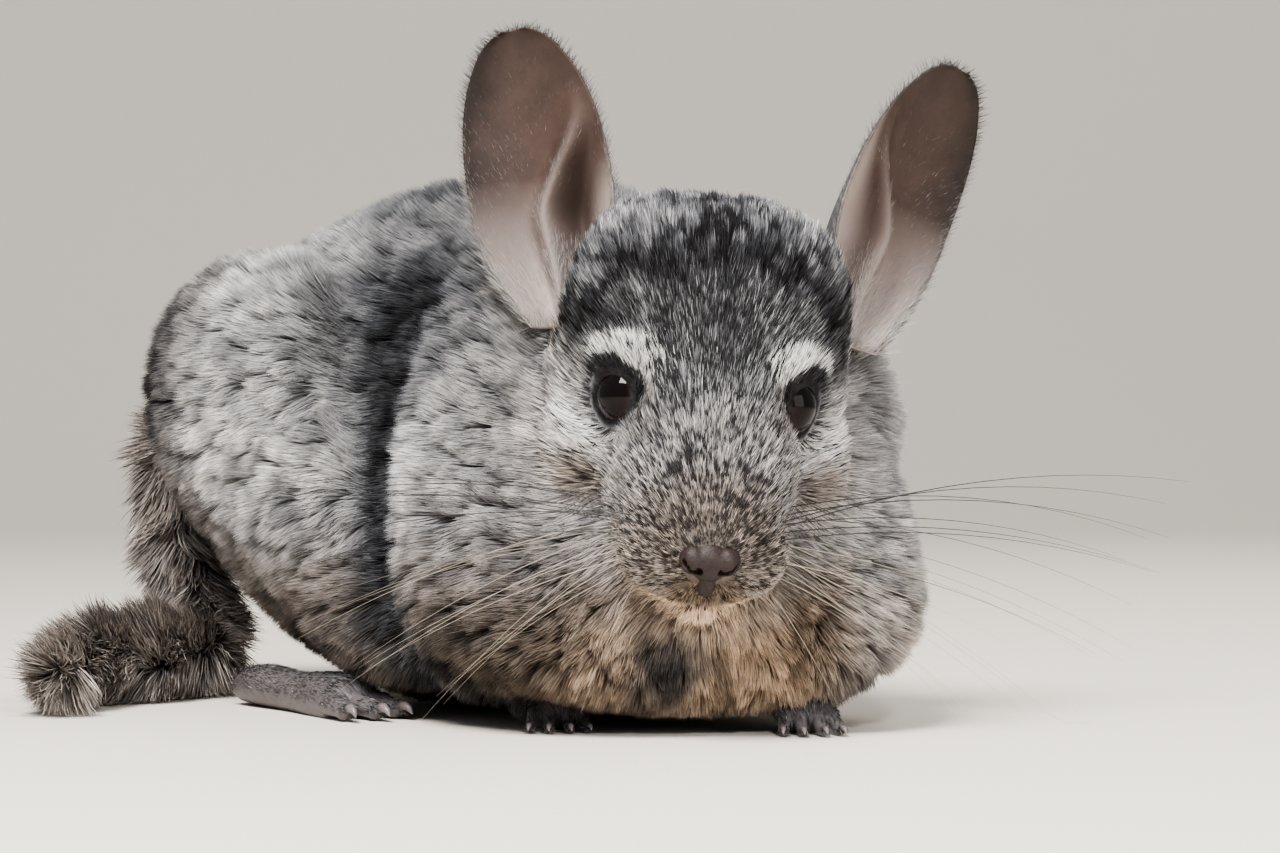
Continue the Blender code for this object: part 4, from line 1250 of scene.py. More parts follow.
def eye_material(colours):
    """A dark glossy eye: black pupil, deep brown iris, darker again at the rim."""
    made, tree, shader = new_material("glossy eye")
    from_axis = attribute(tree, "from_axis")
    streak = maths(tree, "MULTIPLY_ADD", noise(tree, 900.0, 3.0), 0.10, -0.05)
    place = maths(tree, "ADD", from_axis, streak)
    brown = tuple(colours.iris)
    stops = [
        (0.0, (0.004, 0.003, 0.003)),
        (0.46, (0.005, 0.003, 0.003)),
        (0.56, darker(brown, 0.6)),
        (0.68, brown),
        (0.80, (0.006, 0.004, 0.003)),
    ]
    tree.links.new(colour_ramp(tree, place, stops), shader.inputs["Base Color"])
    shader.inputs["Roughness"].default_value = 0.04
    shader.inputs["IOR"].default_value = 1.36
    shader.inputs["Specular IOR Level"].default_value = 0.35
    return made


def whisker_material(colours):
    made, tree, shader = new_material("whisker")
    pale = attribute(tree, "pale")
    base = mix(tree, pale, tuple(colours.black), tuple(colours.whisker))
    tree.links.new(base, shader.inputs["Base Color"])
    shader.inputs["Roughness"].default_value = 0.35
    shader.inputs["Specular IOR Level"].default_value = 0.5
    return made


def claw_material(colours):
    made, tree, shader = new_material("claw")
    share = maths(tree, "MULTIPLY_ADD", noise(tree, 1500.0, 2.0), 0.8, -0.1, clamp=True)
    base = mix(tree, share, tuple(colours.claw), darker(colours.claw, 0.6))
    tree.links.new(base, shader.inputs["Base Color"])
    shader.inputs["Roughness"].default_value = 0.3
    return made


def floor_material(colour):
    made, tree, shader = new_material("studio paper")
    share = maths(tree, "MULTIPLY_ADD", noise(tree, 3.0, 2.0), 0.06, -0.03)
    lightened = mix(tree, share, tuple(colour), (0.9, 0.9, 0.9))
    tree.links.new(lightened, shader.inputs["Base Color"])
    shader.inputs["Roughness"].default_value = 0.9
    return made


# Settings

COLOUR = {"subtype": "COLOR", "min": 0, "max": 1}


class ChinchillaCoatSizes(PropertyGroup):
    face_length: FloatProperty(
        name="Face hair", description="Length of the hair between the eyes",
        default=0.0036, unit="LENGTH",
    )
    crown_length: FloatProperty(
        name="Crown hair", description="Length of the hair on the crown",
        default=0.0070, unit="LENGTH",
    )
    body_length: FloatProperty(
        name="Body hair", description="Length of the hair on back and sides",
        default=0.0074, unit="LENGTH",
    )
    tail_length: FloatProperty(
        name="Tail hair", description="Length of the bristles of the tail",
        default=0.015, unit="LENGTH",
    )
    body_width: FloatProperty(
        name="Body tuft width", description="Width of a tuft on the body",
        default=0.00040, unit="LENGTH",
    )
    face_width: FloatProperty(
        name="Face tuft width", description="Width of a tuft on the face",
        default=0.00022, unit="LENGTH",
    )
    density: FloatProperty(
        name="Density", description="Share of the full number of tufts",
        default=1.0, min=0.05, max=1.0, subtype="FACTOR",
    )
    body_clump: FloatProperty(
        name="Body clumps", description="Spacing of the clumps on the body",
        default=0.0052, unit="LENGTH",
    )
    skin_depth: FloatProperty(
        name="Skin depth", description="Depth of the skin under the outline of the body",
        default=0.0052, unit="LENGTH",
    )


class ChinchillaColours(PropertyGroup):
    black: FloatVectorProperty(
        name="Black", description="Darkest hair", default=(0.012, 0.011, 0.012), **COLOUR
    )
    slate: FloatVectorProperty(
        name="Slate", description="Dark bands of the coat",
        default=(0.070, 0.073, 0.082), **COLOUR,
    )
    grey: FloatVectorProperty(
        name="Grey", description="Middle grey of the coat",
        default=(0.235, 0.238, 0.248), **COLOUR,
    )
    pale: FloatVectorProperty(
        name="Pale", description="Light tips on flanks and cheeks",
        default=(0.53, 0.53, 0.54), **COLOUR,
    )
    white: FloatVectorProperty(
        name="White", description="Brow patches", default=(0.86, 0.85, 0.84), **COLOUR
    )
    # The warm tint colours the real cream and brown of chin and muzzle, and also painted warm light
    # bounced from the floor onto chest and low flanks
    warm: FloatVectorProperty(
        name="Warm tint", description="Tint of chest, chin and muzzle",
        default=(1.0, 0.72, 0.48), **COLOUR,
    )
    ear_pink: FloatVectorProperty(
        name="Ear", description="Inside of the ear", default=(0.072, 0.047, 0.039), **COLOUR
    )
    ear_dark: FloatVectorProperty(
        name="Ear rim", description="Rim and tip of the ear",
        default=(0.022, 0.016, 0.014), **COLOUR,
    )
    ear_pale: FloatVectorProperty(
        name="Ear root", description="Root of the ear's dish",
        default=(0.42, 0.355, 0.33), **COLOUR,
    )
    nose: FloatVectorProperty(
        name="Nose", description="Nose leather", default=(0.030, 0.017, 0.015), **COLOUR
    )
    # Paw skin darker than the bare toes would be, partly painted shade under the body
    paw: FloatVectorProperty(
        name="Paw", description="Skin of the toes", default=(0.15, 0.132, 0.135), **COLOUR
    )
    claw: FloatVectorProperty(
        name="Claw", description="Claws", default=(0.20, 0.17, 0.17), **COLOUR
    )
    iris: FloatVectorProperty(
        name="Iris", description="Iris of the eye", default=(0.032, 0.014, 0.009), **COLOUR
    )
    whisker: FloatVectorProperty(
        name="Whisker", description="Pale lower whiskers", default=(0.40, 0.35, 0.28), **COLOUR
    )


class ChinchillaDetails(PropertyGroup):
    eye_radius: FloatProperty(
        name="Eye radius", description="Radius of the eyeball", default=0.0062, unit="LENGTH"
    )
    whiskers: IntProperty(
        name="Whiskers", description="Whiskers on each side", default=21, min=4, max=60
    )
    whisker_length: FloatProperty(
        name="Whisker length", description="Longest whisker", default=0.104, unit="LENGTH"
    )
    whisker_radius: FloatProperty(
        name="Whisker radius", description="Radius at the root", default=0.00015, unit="LENGTH"
    )


class ChinchillaStage(PropertyGroup):
    floor: FloatVectorProperty(
        name="Floor", description="Colour of the studio floor",
        default=(0.70, 0.66, 0.60), **COLOUR,
    )
    key: FloatProperty(
        name="Key light", description="Power of the key light in watts", default=20.0, min=0
    )
    fill: FloatProperty(
        name="Fill light", description="Power of the fill light in watts", default=3.0, min=0
    )
    surround: FloatProperty(
        name="Surround", description="Strength of the light from all around",
        default=0.42, min=0,
    )
    lens: FloatProperty(
        name="Lens", description="Focal length in millimetres", default=124.3, min=20, max=300
    )


def sizes():
    return bpy.context.scene.chinchilla_sizes


def colours():
    return bpy.context.scene.chinchilla_colours


def details():
    return bpy.context.scene.chinchilla_details


def dressed(obj, slot, *replaced):
    """Lets a piece ride on the frame, and hides the frame's nodes that it stands for; the slot is
    not used.
    """
    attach(obj, "root")
    if replaced:
        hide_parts(*replaced)
    return obj


def use(obj, *materials):
    obj.data.materials.clear()
    for made in materials:
        obj.data.materials.append(made)


def material_named(name, make):
    return bpy.data.materials.get(name) or make()


# Skin

NOSE_BALLS = [
    # place and radii: pad, wings, strip down to the lip
    ((42.8, 0, -8.6), (4.4, 4.2, 4.2)),
    ((43.8, 3.2, -7.9), (3.2, 2.7, 2.9)),
    ((43.8, -3.2, -7.9), (3.2, 2.7, 2.9)),
    ((43.4, 0, -13.0), (2.7, 2.2, 4.0)),
]
NOSTRIL_BALLS = [
    # place and radii on the left side, roll and turn in degrees: opening, its tail
    ((46.8, 2.9, -8.9), (2.4, 1.45, 1.2), -18, 20),
    ((45.8, 4.7, -7.8), (2.3, 1.4, 0.75), 32, 50),
]
CLEFT = [
    (48.0, 0, -7.4), (47.8, 0, -9.2), (47.3, 0, -11.0),
    (46.5, 0, -13.2), (45.8, 0, -15.6), (44.6, 0, -18.0),
]
CLEFT_RADIUS = 0.65
# A dark ball deep in each nostril: painted shade in its depth
NOSTRIL_SHADE_PLACE, NOSTRIL_SHADE_RADII = (44.3, 3.0, -8.8), (1.3, 1.9, 1.5)


def nose_leather():
    """The bare nose: a small heart-shaped pad with comma nostrils and a cleft."""
    flesh = [ball(at(*place), radii, HEAD) for place, radii in NOSE_BALLS]
    front = fused("nose", flesh, NOSE_VOXEL * MM, 2)
    cutters = []
    for side in (1, -1):
        for (ahead, aside, above), radii, roll, turn in NOSTRIL_BALLS:
            turns = (side * roll, 0, side * turn)
            cutters.append(ball(at(ahead, side * aside, above), radii, HEAD, turns=turns))
    line = [HEAD @ at(*p) for p in CLEFT]
    cutters.append(tube("cleft", line, [CLEFT_RADIUS * MM] * len(line), sides=8))
    cut(front, cutters)
    return fused("nose", [front], NOSE_FINE_VOXEL * MM, 1)


LID_PROFILE = [
    # share of the lid's width, height over the eyeball in millimetres
    (0.0, 0.02),
    (0.0, 0.35),
    (0.12, 0.70),
    (0.35, 0.75),
    (0.65, 0.35),
    (1.0, -1.0),
]
LID_STEPS = 56
LID_WIDTH = math.radians(22)
LID_OPENING, LID_DROOP, LID_CORNERS = 59, 5, 7
LID_COLOUR, LID_DEEP = (0.018, 0.013, 0.013), (0.008, 0.006, 0.006)


def lids(side):
    """Dark lids: a rim that hugs the eyeball and runs in under the coat."""
    look = eye_outlook(side)
    up = (UP - look * look.z).normalized()
    across = look.cross(up)
    points, faces = [], []
    for i in range(LID_STEPS):
        turn = 2 * math.pi * i / LID_STEPS
        height = math.sin(turn)
        opening = LID_OPENING - LID_DROOP * max(0.0, height) + LID_CORNERS * abs(math.cos(turn))
        out = across * math.cos(turn) + up * height
        for spread, rise in LID_PROFILE:
            polar = math.radians(opening) + LID_WIDTH * spread
            reach = details().eye_radius + rise * MM
            way = look * math.cos(polar) + out * math.sin(polar)
            points.append(eye_centre(side) + way * reach)
    count = len(LID_PROFILE)
    for i in range(LID_STEPS):
        for k in range(count - 1):
            a, b = i * count + k, ((i + 1) % LID_STEPS) * count + k
            faces.append((a, b, b + 1, a + 1))
    return mesh_object("lids", points, faces)


# Depth of the skin under the coat's outline in millimetres
FACE_DEPTH, MUZZLE_DEPTH, LEG_DEPTH, TAIL_DEPTH = 0.9, 0.5, 1.6, 3.2
DEEPER_BEHIND = 1.5
LOWEST_SKIN, LOWEST_FOOT = 1.0, 0.05


def coat_depth(points, shares):
    """How far the skin lies under the outline of the coat, in metres."""
    ahead = to_head(points)[:, 0]
    head, tail = shares[:, 0], shares[:, 7]
    legs = shares[:, 5] + shares[:, 6]
    depth = np.full(len(points), sizes().skin_depth)
    face, muzzle = head * ramp(ahead, -20, 10), head * ramp(ahead, 14, 28)
    for share, own in ((face, FACE_DEPTH), (muzzle, MUZZLE_DEPTH)):
        depth = depth * (1 - share) + own * MM * share
    depth = depth + DEEPER_BEHIND * MM * ramp(points[:, 1] / MM, 30, 60)
    for share, own in ((legs, LEG_DEPTH), (tail, TAIL_DEPTH)):
        depth = depth * (1 - share) + own * MM * share
    return depth


def keep_above(obj, lowest):
    """Lifts points that lie lower than this many millimetres."""
    points = points_of(obj)
    points[:, 2] = np.maximum(points[:, 2], lowest * MM)
    obj.data.vertices.foreach_set("co", points.astype(np.float32).ravel())


def body_skin():
    """Body and head in one, set in by the coat's depth, with the values that colour the hide."""
    forms = [FORMS[name]() for name in REGIONS]
    trees = [tree_of(form) for form in forms]
    body = fused("body", forms, BODY_VOXEL * MM, 8)
    points, normals = points_of(body), normals_of(body)
    shares = region_shares(points, trees)
    points = points - normals * coat_depth(points, shares)[:, None]
    body.data.vertices.foreach_set("co", points.astype(np.float32).ravel())
    keep_above(body, LOWEST_SKIN)
    soften = body.modifiers.new("soften", "SMOOTH")
    soften.iterations = 4
    bake_modifiers(body)
    for k, name in enumerate(REGIONS):
        set_values(body, "on_" + name, shares[:, k])
    light, _, warm = markings_and_shade(points_of(body), shares)
    set_values(body, "light", light)
    set_values(body, "warm", warm)
    return body


class CHINCHILLA_OT_skin(Operator):
    """Build the one skin: body and head, muzzle, ears, feet and lids"""

    bl_idname = "chinchilla.skin"
    bl_label = "Skin"

    def execute(self, context):
        body = body_skin()
        shade = colours()
        lid = bare_skin("lid skin and nostril shade", LID_COLOUR, LID_DEEP, 0.35, 1500.0, 0.3)
        nose = bare_skin("nose leather", shade.nose, darker(shade.nose, 0.4), 0.5, 2200.0, 0.6)
        # Paw skin darker than the bare toes would be, partly painted shade under the body
        paw = bare_skin("paw skin", shade.paw, darker(shade.paw, 0.6), 0.5, 1400.0, 0.6)
        use(body, material_named("hide", lambda: skin_material(shade)))
        parts = [body]
        front = nose_leather()
        use(front, nose)
        parts.append(front)
        for side in (1, -1):
            # A dark ball inside each nostril, as painted shade
            ahead, aside, above = NOSTRIL_SHADE_PLACE
            hollow = ball(at(ahead, side * aside, above), NOSTRIL_SHADE_RADII, HEAD)
            use(hollow, lid)
            parts.append(hollow)
            ear = ear_flesh(side)
            use(ear, material_named("ear skin", lambda: ear_material(shade)))
            parts.append(ear)
            rim = lids(side)
            use(rim, lid)
            parts.append(rim)
        claws = []
        for make in (forepaw, hind_foot):
            for side in (1, -1):
                flesh, own = make(side)
                foot = fused("foot", flesh, FOOT_VOXEL * MM, 3)
                keep_above(foot, LOWEST_FOOT)
                use(foot, paw)
                parts.append(foot)
                claws += own
        skin = joined("skin", parts)
        skin.data.shade_smooth()
        flesh_nodes = [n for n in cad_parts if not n.startswith("eye")]
        dressed(skin, "coat_grey", *flesh_nodes)
        nails = joined("claws", claws)
        nails.data.shade_smooth()
        use(nails, material_named("claw", lambda: claw_material(shade)))
        dressed(nails, "paw_skin")
        return {"FINISHED"}


# Coat

def value_of(obj, name):
    out = np.empty(len(obj.data.vertices), np.float32)
    obj.data.attributes[name].data.foreach_get("value", out)
    return out.astype(float)


def vertices_with(obj, material_name):
    """1 for the points of faces with this material, 0 for the rest."""
    mesh = obj.data
    index = mesh.materials.find(material_name)
    owner = np.empty(len(mesh.polygons), np.int32)
    mesh.polygons.foreach_get("material_index", owner)
    mesh.calc_loop_triangles()
    corners = np.empty(len(mesh.loop_triangles) * 3, np.int32)
    mesh.loop_triangles.foreach_get("vertices", corners)
    face_of = np.empty(len(mesh.loop_triangles), np.int32)
    mesh.loop_triangles.foreach_get("polygon_index", face_of)
    mask = np.zeros(len(mesh.vertices))
    mask[corners.reshape(-1, 3)[owner[face_of] == index].ravel()] = 1
    return mask


# Hair in millimetres, and how far it stands off the skin in degrees
CHEEK_HAIR, LEG_HAIR = 6.2, 5.5
LEG_TUFT, TAIL_TUFT = 0.40, 0.30
FACE_LIFT, CROWN_LIFT, CHEEK_LIFT, BODY_LIFT, TAIL_LIFT = 26, 20, 14, 66, 24
HEAD_BEND, BODY_BEND = 0.75, 0.4
NOSE_PLACE, NOSE_REACH = (43, 0, -9), (1.2, 1.0, 1.0)


def coat_look(q, points, shares, light, warm, rng):
    """Length, width, lift and tone of each tuft, from where its root is."""
    size = sizes()
    a, l, u = q.T
    z = points[:, 2] / MM
    head, legs, tail = shares[:, 0], shares[:, 5] + shares[:, 6], shares[:, 7]
    on_snout = ramp(a, 22, 42)
    on_crown = ramp(-a, -10, 6) * (1 - ramp(-u, 2, 14)) + ramp(-a, 4, 22)
    on_crown = np.clip(on_crown, 0, 1)
    face = size.face_length * (1 - 0.40 * on_snout)
    head_length = face * (1 - on_crown) + size.crown_length * on_crown
    cheek = ramp(np.abs(l), 18, 26) * (1 - ramp(u, -6, 4))
    head_length = head_length * (1 - cheek) + CHEEK_HAIR * MM * cheek
    wider = 1 + 0.75 * on_crown + 0.5 * cheek * (1 - on_crown)
    head_width = size.face_width * (1 - 0.25 * on_snout) * wider
    body_length = size.body_length * (1 - 0.35 * (1 - ramp(z, 4, 22)))
    length = head * head_length + (1 - head) * body_length
    width = head * head_width + (1 - head) * size.body_width
    from_nose = np.linalg.norm((q - np.array(NOSE_PLACE)) / np.array(NOSE_REACH), axis=1)
    length = length * (0.80 + 0.20 * ramp(from_nose, 4.0, 8.0))
    length = length * (1 - legs) + LEG_HAIR * MM * legs
    width = width * (1 - legs) + LEG_TUFT * MM * legs
    length = length * (1 - tail) + size.tail_length * tail
    width = width * (1 - tail) + TAIL_TUFT * MM * tail
    head_lift = FACE_LIFT + CROWN_LIFT * on_crown + CHEEK_LIFT * cheek
    lift = head * head_lift + (1 - head) * BODY_LIFT
    lift = lift * (1 - tail) + TAIL_LIFT * tail
    count = len(points)
    length = length * rng.uniform(0.75, 1.15, count)
    width = width * rng.uniform(0.7, 1.2, count)
    lift = np.radians(np.clip(lift + rng.normal(0, 7, count), 6, 84))
    return {
        "length": length, "width": width, "lift": lift, "light": light, "warm": warm,
        "bend": HEAD_BEND * head + BODY_BEND * (1 - head), "pull": np.zeros(count),
        "tips": points.copy(),
    }


def tick_share(q):
    """Share of dark ticks in the hair of the face: many on the snout, few on the cheeks."""
    a, l, u = q.T
    top = ramp(u - 0.55 * (30 - a), -14, -4)
    forehead = (1 - ramp(a, 17, 25)) * (1 - ramp(np.abs(l), 9, 15)) * ramp(u, 6, 11)
    share = 0.12 + 0.24 * top * (1 - ramp(np.abs(l), 10, 18)) + 0.26 * forehead
    return share + 0.20 * ramp(a, 28, 36) * ramp(u, -17, -9)


# Tufts to a square millimetre
HEAD_TUFTS, SNOUT_MORE, CROWN_FEWER = 12.0, 8.0, 2.0
BODY_TUFTS, CHEST_MORE, HAUNCH_MORE = 12.5, 3.0, 4.0
NECK_TUFTS, LEG_TUFTS, TAIL_TUFTS = 18.0, 12.0, 9.0


def coat_density(q, points, shares):
    ahead, y = q[:, 0], points[:, 1] / MM
    head, neck, haunches = shares[:, 0], shares[:, 1], shares[:, 3] + shares[:, 4]
    legs, tail = shares[:, 5] + shares[:, 6], shares[:, 7]
    on_head = HEAD_TUFTS + SNOUT_MORE * ramp(ahead, 26, 38) - CROWN_FEWER * ramp(-ahead, -2, 14)
    on_body = BODY_TUFTS + CHEST_MORE * (1 - ramp(y, -50, -20)) + HAUNCH_MORE * haunches
    total = head * on_head + neck * NECK_TUFTS + (1 - head - neck) * on_body
    return total * (1 - legs - tail) + legs * LEG_TUFTS + tail * TAIL_TUFTS


EYE_ROOM = 7.0
BARE_NOSE_FROM, BARE_NOSE_MIDDLE, BARE_NOSE_RADII = 40, -8.8, (4.7, 3.6)
# Spacing of the clumps on face and crown, and of the ticks
FACE_CLUMP, CROWN_CLUMP_MORE, TICK_CLUMP = 1.6, 0.9, 0.62


def has_hair(roots, q):
    """Whether a root lies clear of the eyes and the bare nose."""
    keep = np.ones(len(roots), bool)
    for side in (1, -1):
        keep &= np.linalg.norm(roots - np.array(eye_centre(side)), axis=1) > EYE_ROOM * MM
    across, height = BARE_NOSE_RADII
    oval = (q[:, 1] / across) ** 2 + ((q[:, 2] - BARE_NOSE_MIDDLE) / height) ** 2
    return keep & ~((q[:, 0] > BARE_NOSE_FROM) & (oval < 1))


def swirled(ways, normals, roots, on_body, rng):
    """Ways of the hair turned a little at random, and on the body in soft swirls."""
    swing = rng.normal(0, 0.13, len(roots))
    swirl = 0.45 * waves(roots, 15 * MM, 15) + 0.30 * waves(roots, 7 * MM, 16)
    swing = swing + swirl * on_body
    aside = np.cross(normals, ways)
    return unit(ways * np.cos(swing)[:, None] + aside * np.sin(swing)[:, None])


def clump_tips(look, roots, normals, ways, head, crown, owner, rng):
    """Draws the tips of each clump together at the tip of the tuft in its middle."""
    flat = (0.80 * head + 0.50 * (1 - head))[:, None]
    steep = (0.42 * head + 0.80 * (1 - head) + 0.15 * crown)[:, None]
    tips = roots + (ways * flat + normals * steep) * look["length"][:, None]
    pull = 0.22 * head + 0.25 * crown + 0.40 * (1 - head)
    look["pull"] = pull * rng.uniform(0.6, 1.1, len(roots))
    look["tips"] = tips[owner]


def tones(roots, q, light, spread, head, crown, chest, owner, away, rng):
    """How light each tuft is, from its place, its clump, painted shade in the gaps between clumps,
    and the ticks.
    """
    mood = rng.normal(0, 1, len(roots))[owner]
    # Painted shade: tufts at the edge of a clump are darker, as in the grooves between clumps
    gap_shade = ramp(away, 0.25, 0.75)
    tone = rng.normal(0, 1, len(roots))
    on_body = light + 0.05 * mood - (0.15 - 0.07 * chest) * gap_shade + 0.6 * spread * tone
    on_crown = light + 0.17 * mood - 0.16 * gap_shade + 0.45 * spread * tone
    spot, _ = clumps(roots, np.full(len(roots), TICK_CLUMP * MM), rng)
    ticked = rng.random(len(roots))[spot] < tick_share(q)
    on_face = light + 0.6 * spread * tone + 0.04 * mood
    on_face = np.where(ticked, 0.10 + 0.05 * tone, on_face + 0.05)
    return np.clip(on_body * (1 - head) + on_crown * crown + on_face * (head - crown), 0.0, 1.0)


class CHINCHILLA_OT_coat(Operator):
    """Grow the coat of fine tufts over body and head"""

    bl_idname = "chinchilla.coat"
    bl_label = "Coat"

    def execute(self, context):
        rng = np.random.default_rng(RNG_SEED)
        skin = bpy.data.objects["skin"]
        points, normals = points_of(skin), normals_of(skin)
        on_body = vertices_with(skin, "hide")
        shares = np.stack([value_of(skin, "on_" + name) for name in REGIONS], axis=1)
        share_kept = sizes().density * 1.0
        density = coat_density(to_head(points), points, shares) * on_body * share_kept
        ways = lie_of_coat(points, normals, shares)
        corners, weights = roots_on(skin, density, rng, lambda c: on_body[c].min(axis=1))
        at_root = [taken(v, corners, weights) for v in (points, normals, ways, shares)]
        roots, n, way, share = at_root[0], unit(at_root[1]), unit(at_root[2]), at_root[3]
        q = to_head(roots)
        keep = has_hair(roots, q)
        roots, n, way, share, q = roots[keep], n[keep], way[keep], share[keep], q[keep]
        head = share[:, 0]
        crown = head * np.clip(ramp(-q[:, 0], -10, 4), 0, 1)
        chest = (1 - head) * (1 - ramp(roots[:, 1] / MM, -56, -30))
        light, spread, warm = markings_and_shade(roots, share)
        way = swirled(way, n, roots, 1 - head, rng)
        look = coat_look(q, roots, share, light, warm, rng)
        spacing = sizes().body_clump * (1 - head) + head * FACE_CLUMP * MM
        spacing = (spacing + crown * CROWN_CLUMP_MORE * MM) * (1 - 0.35 * chest)
        owner, away = clumps(roots, spacing, rng)
        clump_tips(look, roots, n, way, head, crown, owner, rng)
        look["light"] = tones(roots, q, light, spread, head, crown, chest, owner, away, rng)
        make_coat_pieces(roots, n, way, share, q, look, rng)
        return {"FINISHED"}


PIECES = {
    # name: centre in millimetres of the layout of its roots
    "coat_muzzle": (-32, -70, 45),
    "coat_face": (-20, -55, 62),
    "coat_crown": (-15, -50, 65),
    "coat_neck": (-1, -28, 50),
    "coat_chest": (-15, -40, 35),
    "coat_back_left": (0, 20, 50),
    "coat_back_right": (0, 20, 50),
    "coat_haunch_left": (25, 50, 50),
    "coat_haunch_right": (-25, 50, 50),
    "coat_legs": (-3, -30, 20),
    "coat_tail": (-35, 90, 25),
}


def piece_of(roots, share, q):
    """The name of the coat piece that each root belongs to."""
    region = np.argmax(share, axis=1)
    x, y, _ = roots.T / MM
    names = np.empty(len(roots), object)
    names[:] = "coat_legs"
    names[region == 0] = "coat_face"
    names[(region == 0) & (q[:, 0] > 20)] = "coat_muzzle"
    names[(region == 0) & (q[:, 0] < 1)] = "coat_crown"
    names[region == 1] = "coat_neck"
    names[region == 2] = np.where(x[region == 2] > 0, "coat_back_left", "coat_back_right")
    names[(region == 2) & (y < -28)] = "coat_chest"
    names[region == 3] = "coat_haunch_right"
    names[region == 4] = "coat_haunch_left"
    names[region == 7] = "coat_tail"
    return names


# Parts of a tuft where it has more than one
PARTS = {"coat_muzzle": 2, "coat_face": 2, "coat_crown": 2, "coat_tail": 3}
MOST_TRIANGLES = 198000


def make_coat_pieces(roots, n, way, share, q, look, rng):
    hair = material_named("coat hair", lambda: coat_material(colours()))
    names = piece_of(roots, share, q)
    for name, centre in PIECES.items():
        chosen = np.flatnonzero(names == name)
        parts = PARTS.get(name, 1)
        triangles = len(chosen) * (2 * parts - 1)
        if triangles > MOST_TRIANGLES:
            raise RuntimeError(f"{name} has {triangles} triangles: lower the density")
        own = {key: value[chosen] for key, value in look.items()}
        places = octahedron(unit(roots[chosen] - np.array(centre) * MM))
        piece = tufts(name, roots[chosen], n[chosen], way[chosen], own, rng, places, parts)
        use(piece, hair)
        dark = name in ("coat_tail", "coat_legs")
        dressed(piece, "coat_slate" if dark else "coat_grey")


# Hairs to a square millimetre of the ear, their length in millimetres, width and tone
EAR_BACK_TUFTS, EAR_INSIDE_TUFTS, EAR_RIM_TUFTS = 5.5, 4.5, 4.0
EAR_BACK_LENGTH, EAR_INSIDE_LENGTH = 1.5, 2.6
EAR_BACK_WIDTH, EAR_INSIDE_WIDTH = 0.20, 0.08
EAR_BACK_TONE, EAR_INSIDE_TONE = 0.36, 0.52
EAR_REACH = 70


def ear_density(up, across, behind):
    """Short dense hair behind, thin hair inside that thickens to the root and the rim."""
    rim = np.clip(ramp(np.abs(across), 0.80, 0.98) + ramp(up, 0.93, 1.0), 0, 1)
    to_rim = ramp(np.abs(across), 0.3, 0.7)
    inside = EAR_INSIDE_TUFTS + 4.0 * (1 - ramp(up, 0.1, 0.45)) + 1.2 * to_rim
    return behind * EAR_BACK_TUFTS + (1 - behind) * inside + EAR_RIM_TUFTS * rim


def ear_way(side, normals, over, inside, rng):
    """Hair runs up the ear, and on its inside also out to the rim."""
    place = np.array(ear_place(side))
    upward, outward = place[:3, 2], place[:3, 0] * side
    way = upward + outward * (over * 0.9)[:, None] * (0.4 + 0.6 * inside)[:, None]
    way = way - normals * np.sum(way * normals, axis=1, keepdims=True)
    way = unit(way + rng.normal(0, 0.18, way.shape))
    return unit(way - normals * np.sum(way * normals, axis=1, keepdims=True))


def ear_look(roots, height, over, on_back, rng):
    at_rim = ramp(np.abs(over), 0.85, 1.0)
    low = 1 - ramp(height, 0.05, 0.4)
    count = len(roots)
    length = (EAR_INSIDE_LENGTH + 2.0 * low + 0.4 * at_rim) * MM * rng.uniform(0.6, 1.2, count)
    length = np.where(on_back, (EAR_BACK_LENGTH + 2.5 * low) * MM, length)
    light = np.where(on_back, EAR_BACK_TONE, EAR_INSIDE_TONE + 0.20 * low)
    light = light + rng.normal(0, 0.09, count)
    light = light - np.where(on_back, 0.0, 0.35) * ramp(height, 0.55, 0.95)
    return {
        "length": length, "width": np.where(on_back, EAR_BACK_WIDTH, EAR_INSIDE_WIDTH) * MM,
        "lift": np.radians(rng.uniform(5, 16, count) + 14 * at_rim),
        "light": np.clip(light, 0, 1), "warm": np.full(count, 0.25),
        "bend": np.full(count, 0.6), "pull": np.zeros(count), "tips": roots.copy(),
    }


class CHINCHILLA_OT_ear_hair(Operator):
    """Grow the short hair behind the ears and the pale fringes inside them"""

    bl_idname = "chinchilla.ear_hair"
    bl_label = "Ear hair"

    def execute(self, context):
        rng = np.random.default_rng(RNG_SEED + 1)
        skin = bpy.data.objects["skin"]
        points, normals = points_of(skin), normals_of(skin)
        mask = vertices_with(skin, "ear skin")
        up, across, behind = (value_of(skin, n) for n in ("ear_up", "ear_across", "ear_back"))
        hair = material_named("coat hair", lambda: coat_material(colours()))
        density = ear_density(up, across, behind) * 1.0
        from_root = {
            side: np.linalg.norm(points - np.array(ear_place(side).translation), axis=1)
            for side in (1, -1)
        }
        for side, word in ((1, "left"), (-1, "right")):
            nearer = from_root[side] < np.minimum(from_root[-side], EAR_REACH * MM)
            own = mask * nearer
            corners, weights = roots_on(skin, density * own, rng, lambda c, m=own: m[c].min(axis=1))
            roots, n = taken(points, corners, weights), unit(taken(normals, corners, weights))
            height, over, back = (taken(v, corners, weights) for v in (up, across, behind))
            on_back = back > 0.5
            way = ear_way(side, n, over, back < 0.5, rng)
            look = ear_look(roots, height, over, on_back, rng)
            half = np.where(on_back, 0.5, 0.0)
            places = np.stack([0.02 + (over + 1) * 0.23 + half, 0.02 + 0.95 * height], axis=1)
            piece = tufts(f"ear_hair_{word}", roots, n, way, look, rng, places, parts=2)
            use(piece, hair)
            dressed(piece, "ear_skin")
        return {"FINISHED"}


PAW_TUFTS, PAW_TUFT_WIDTH = 12.0, 0.20
HIND_HAIR_WAY, FRONT_HAIR_WAY = np.array([0.0, -1.0, -0.2]), np.array([-0.56, -0.8, -0.2])


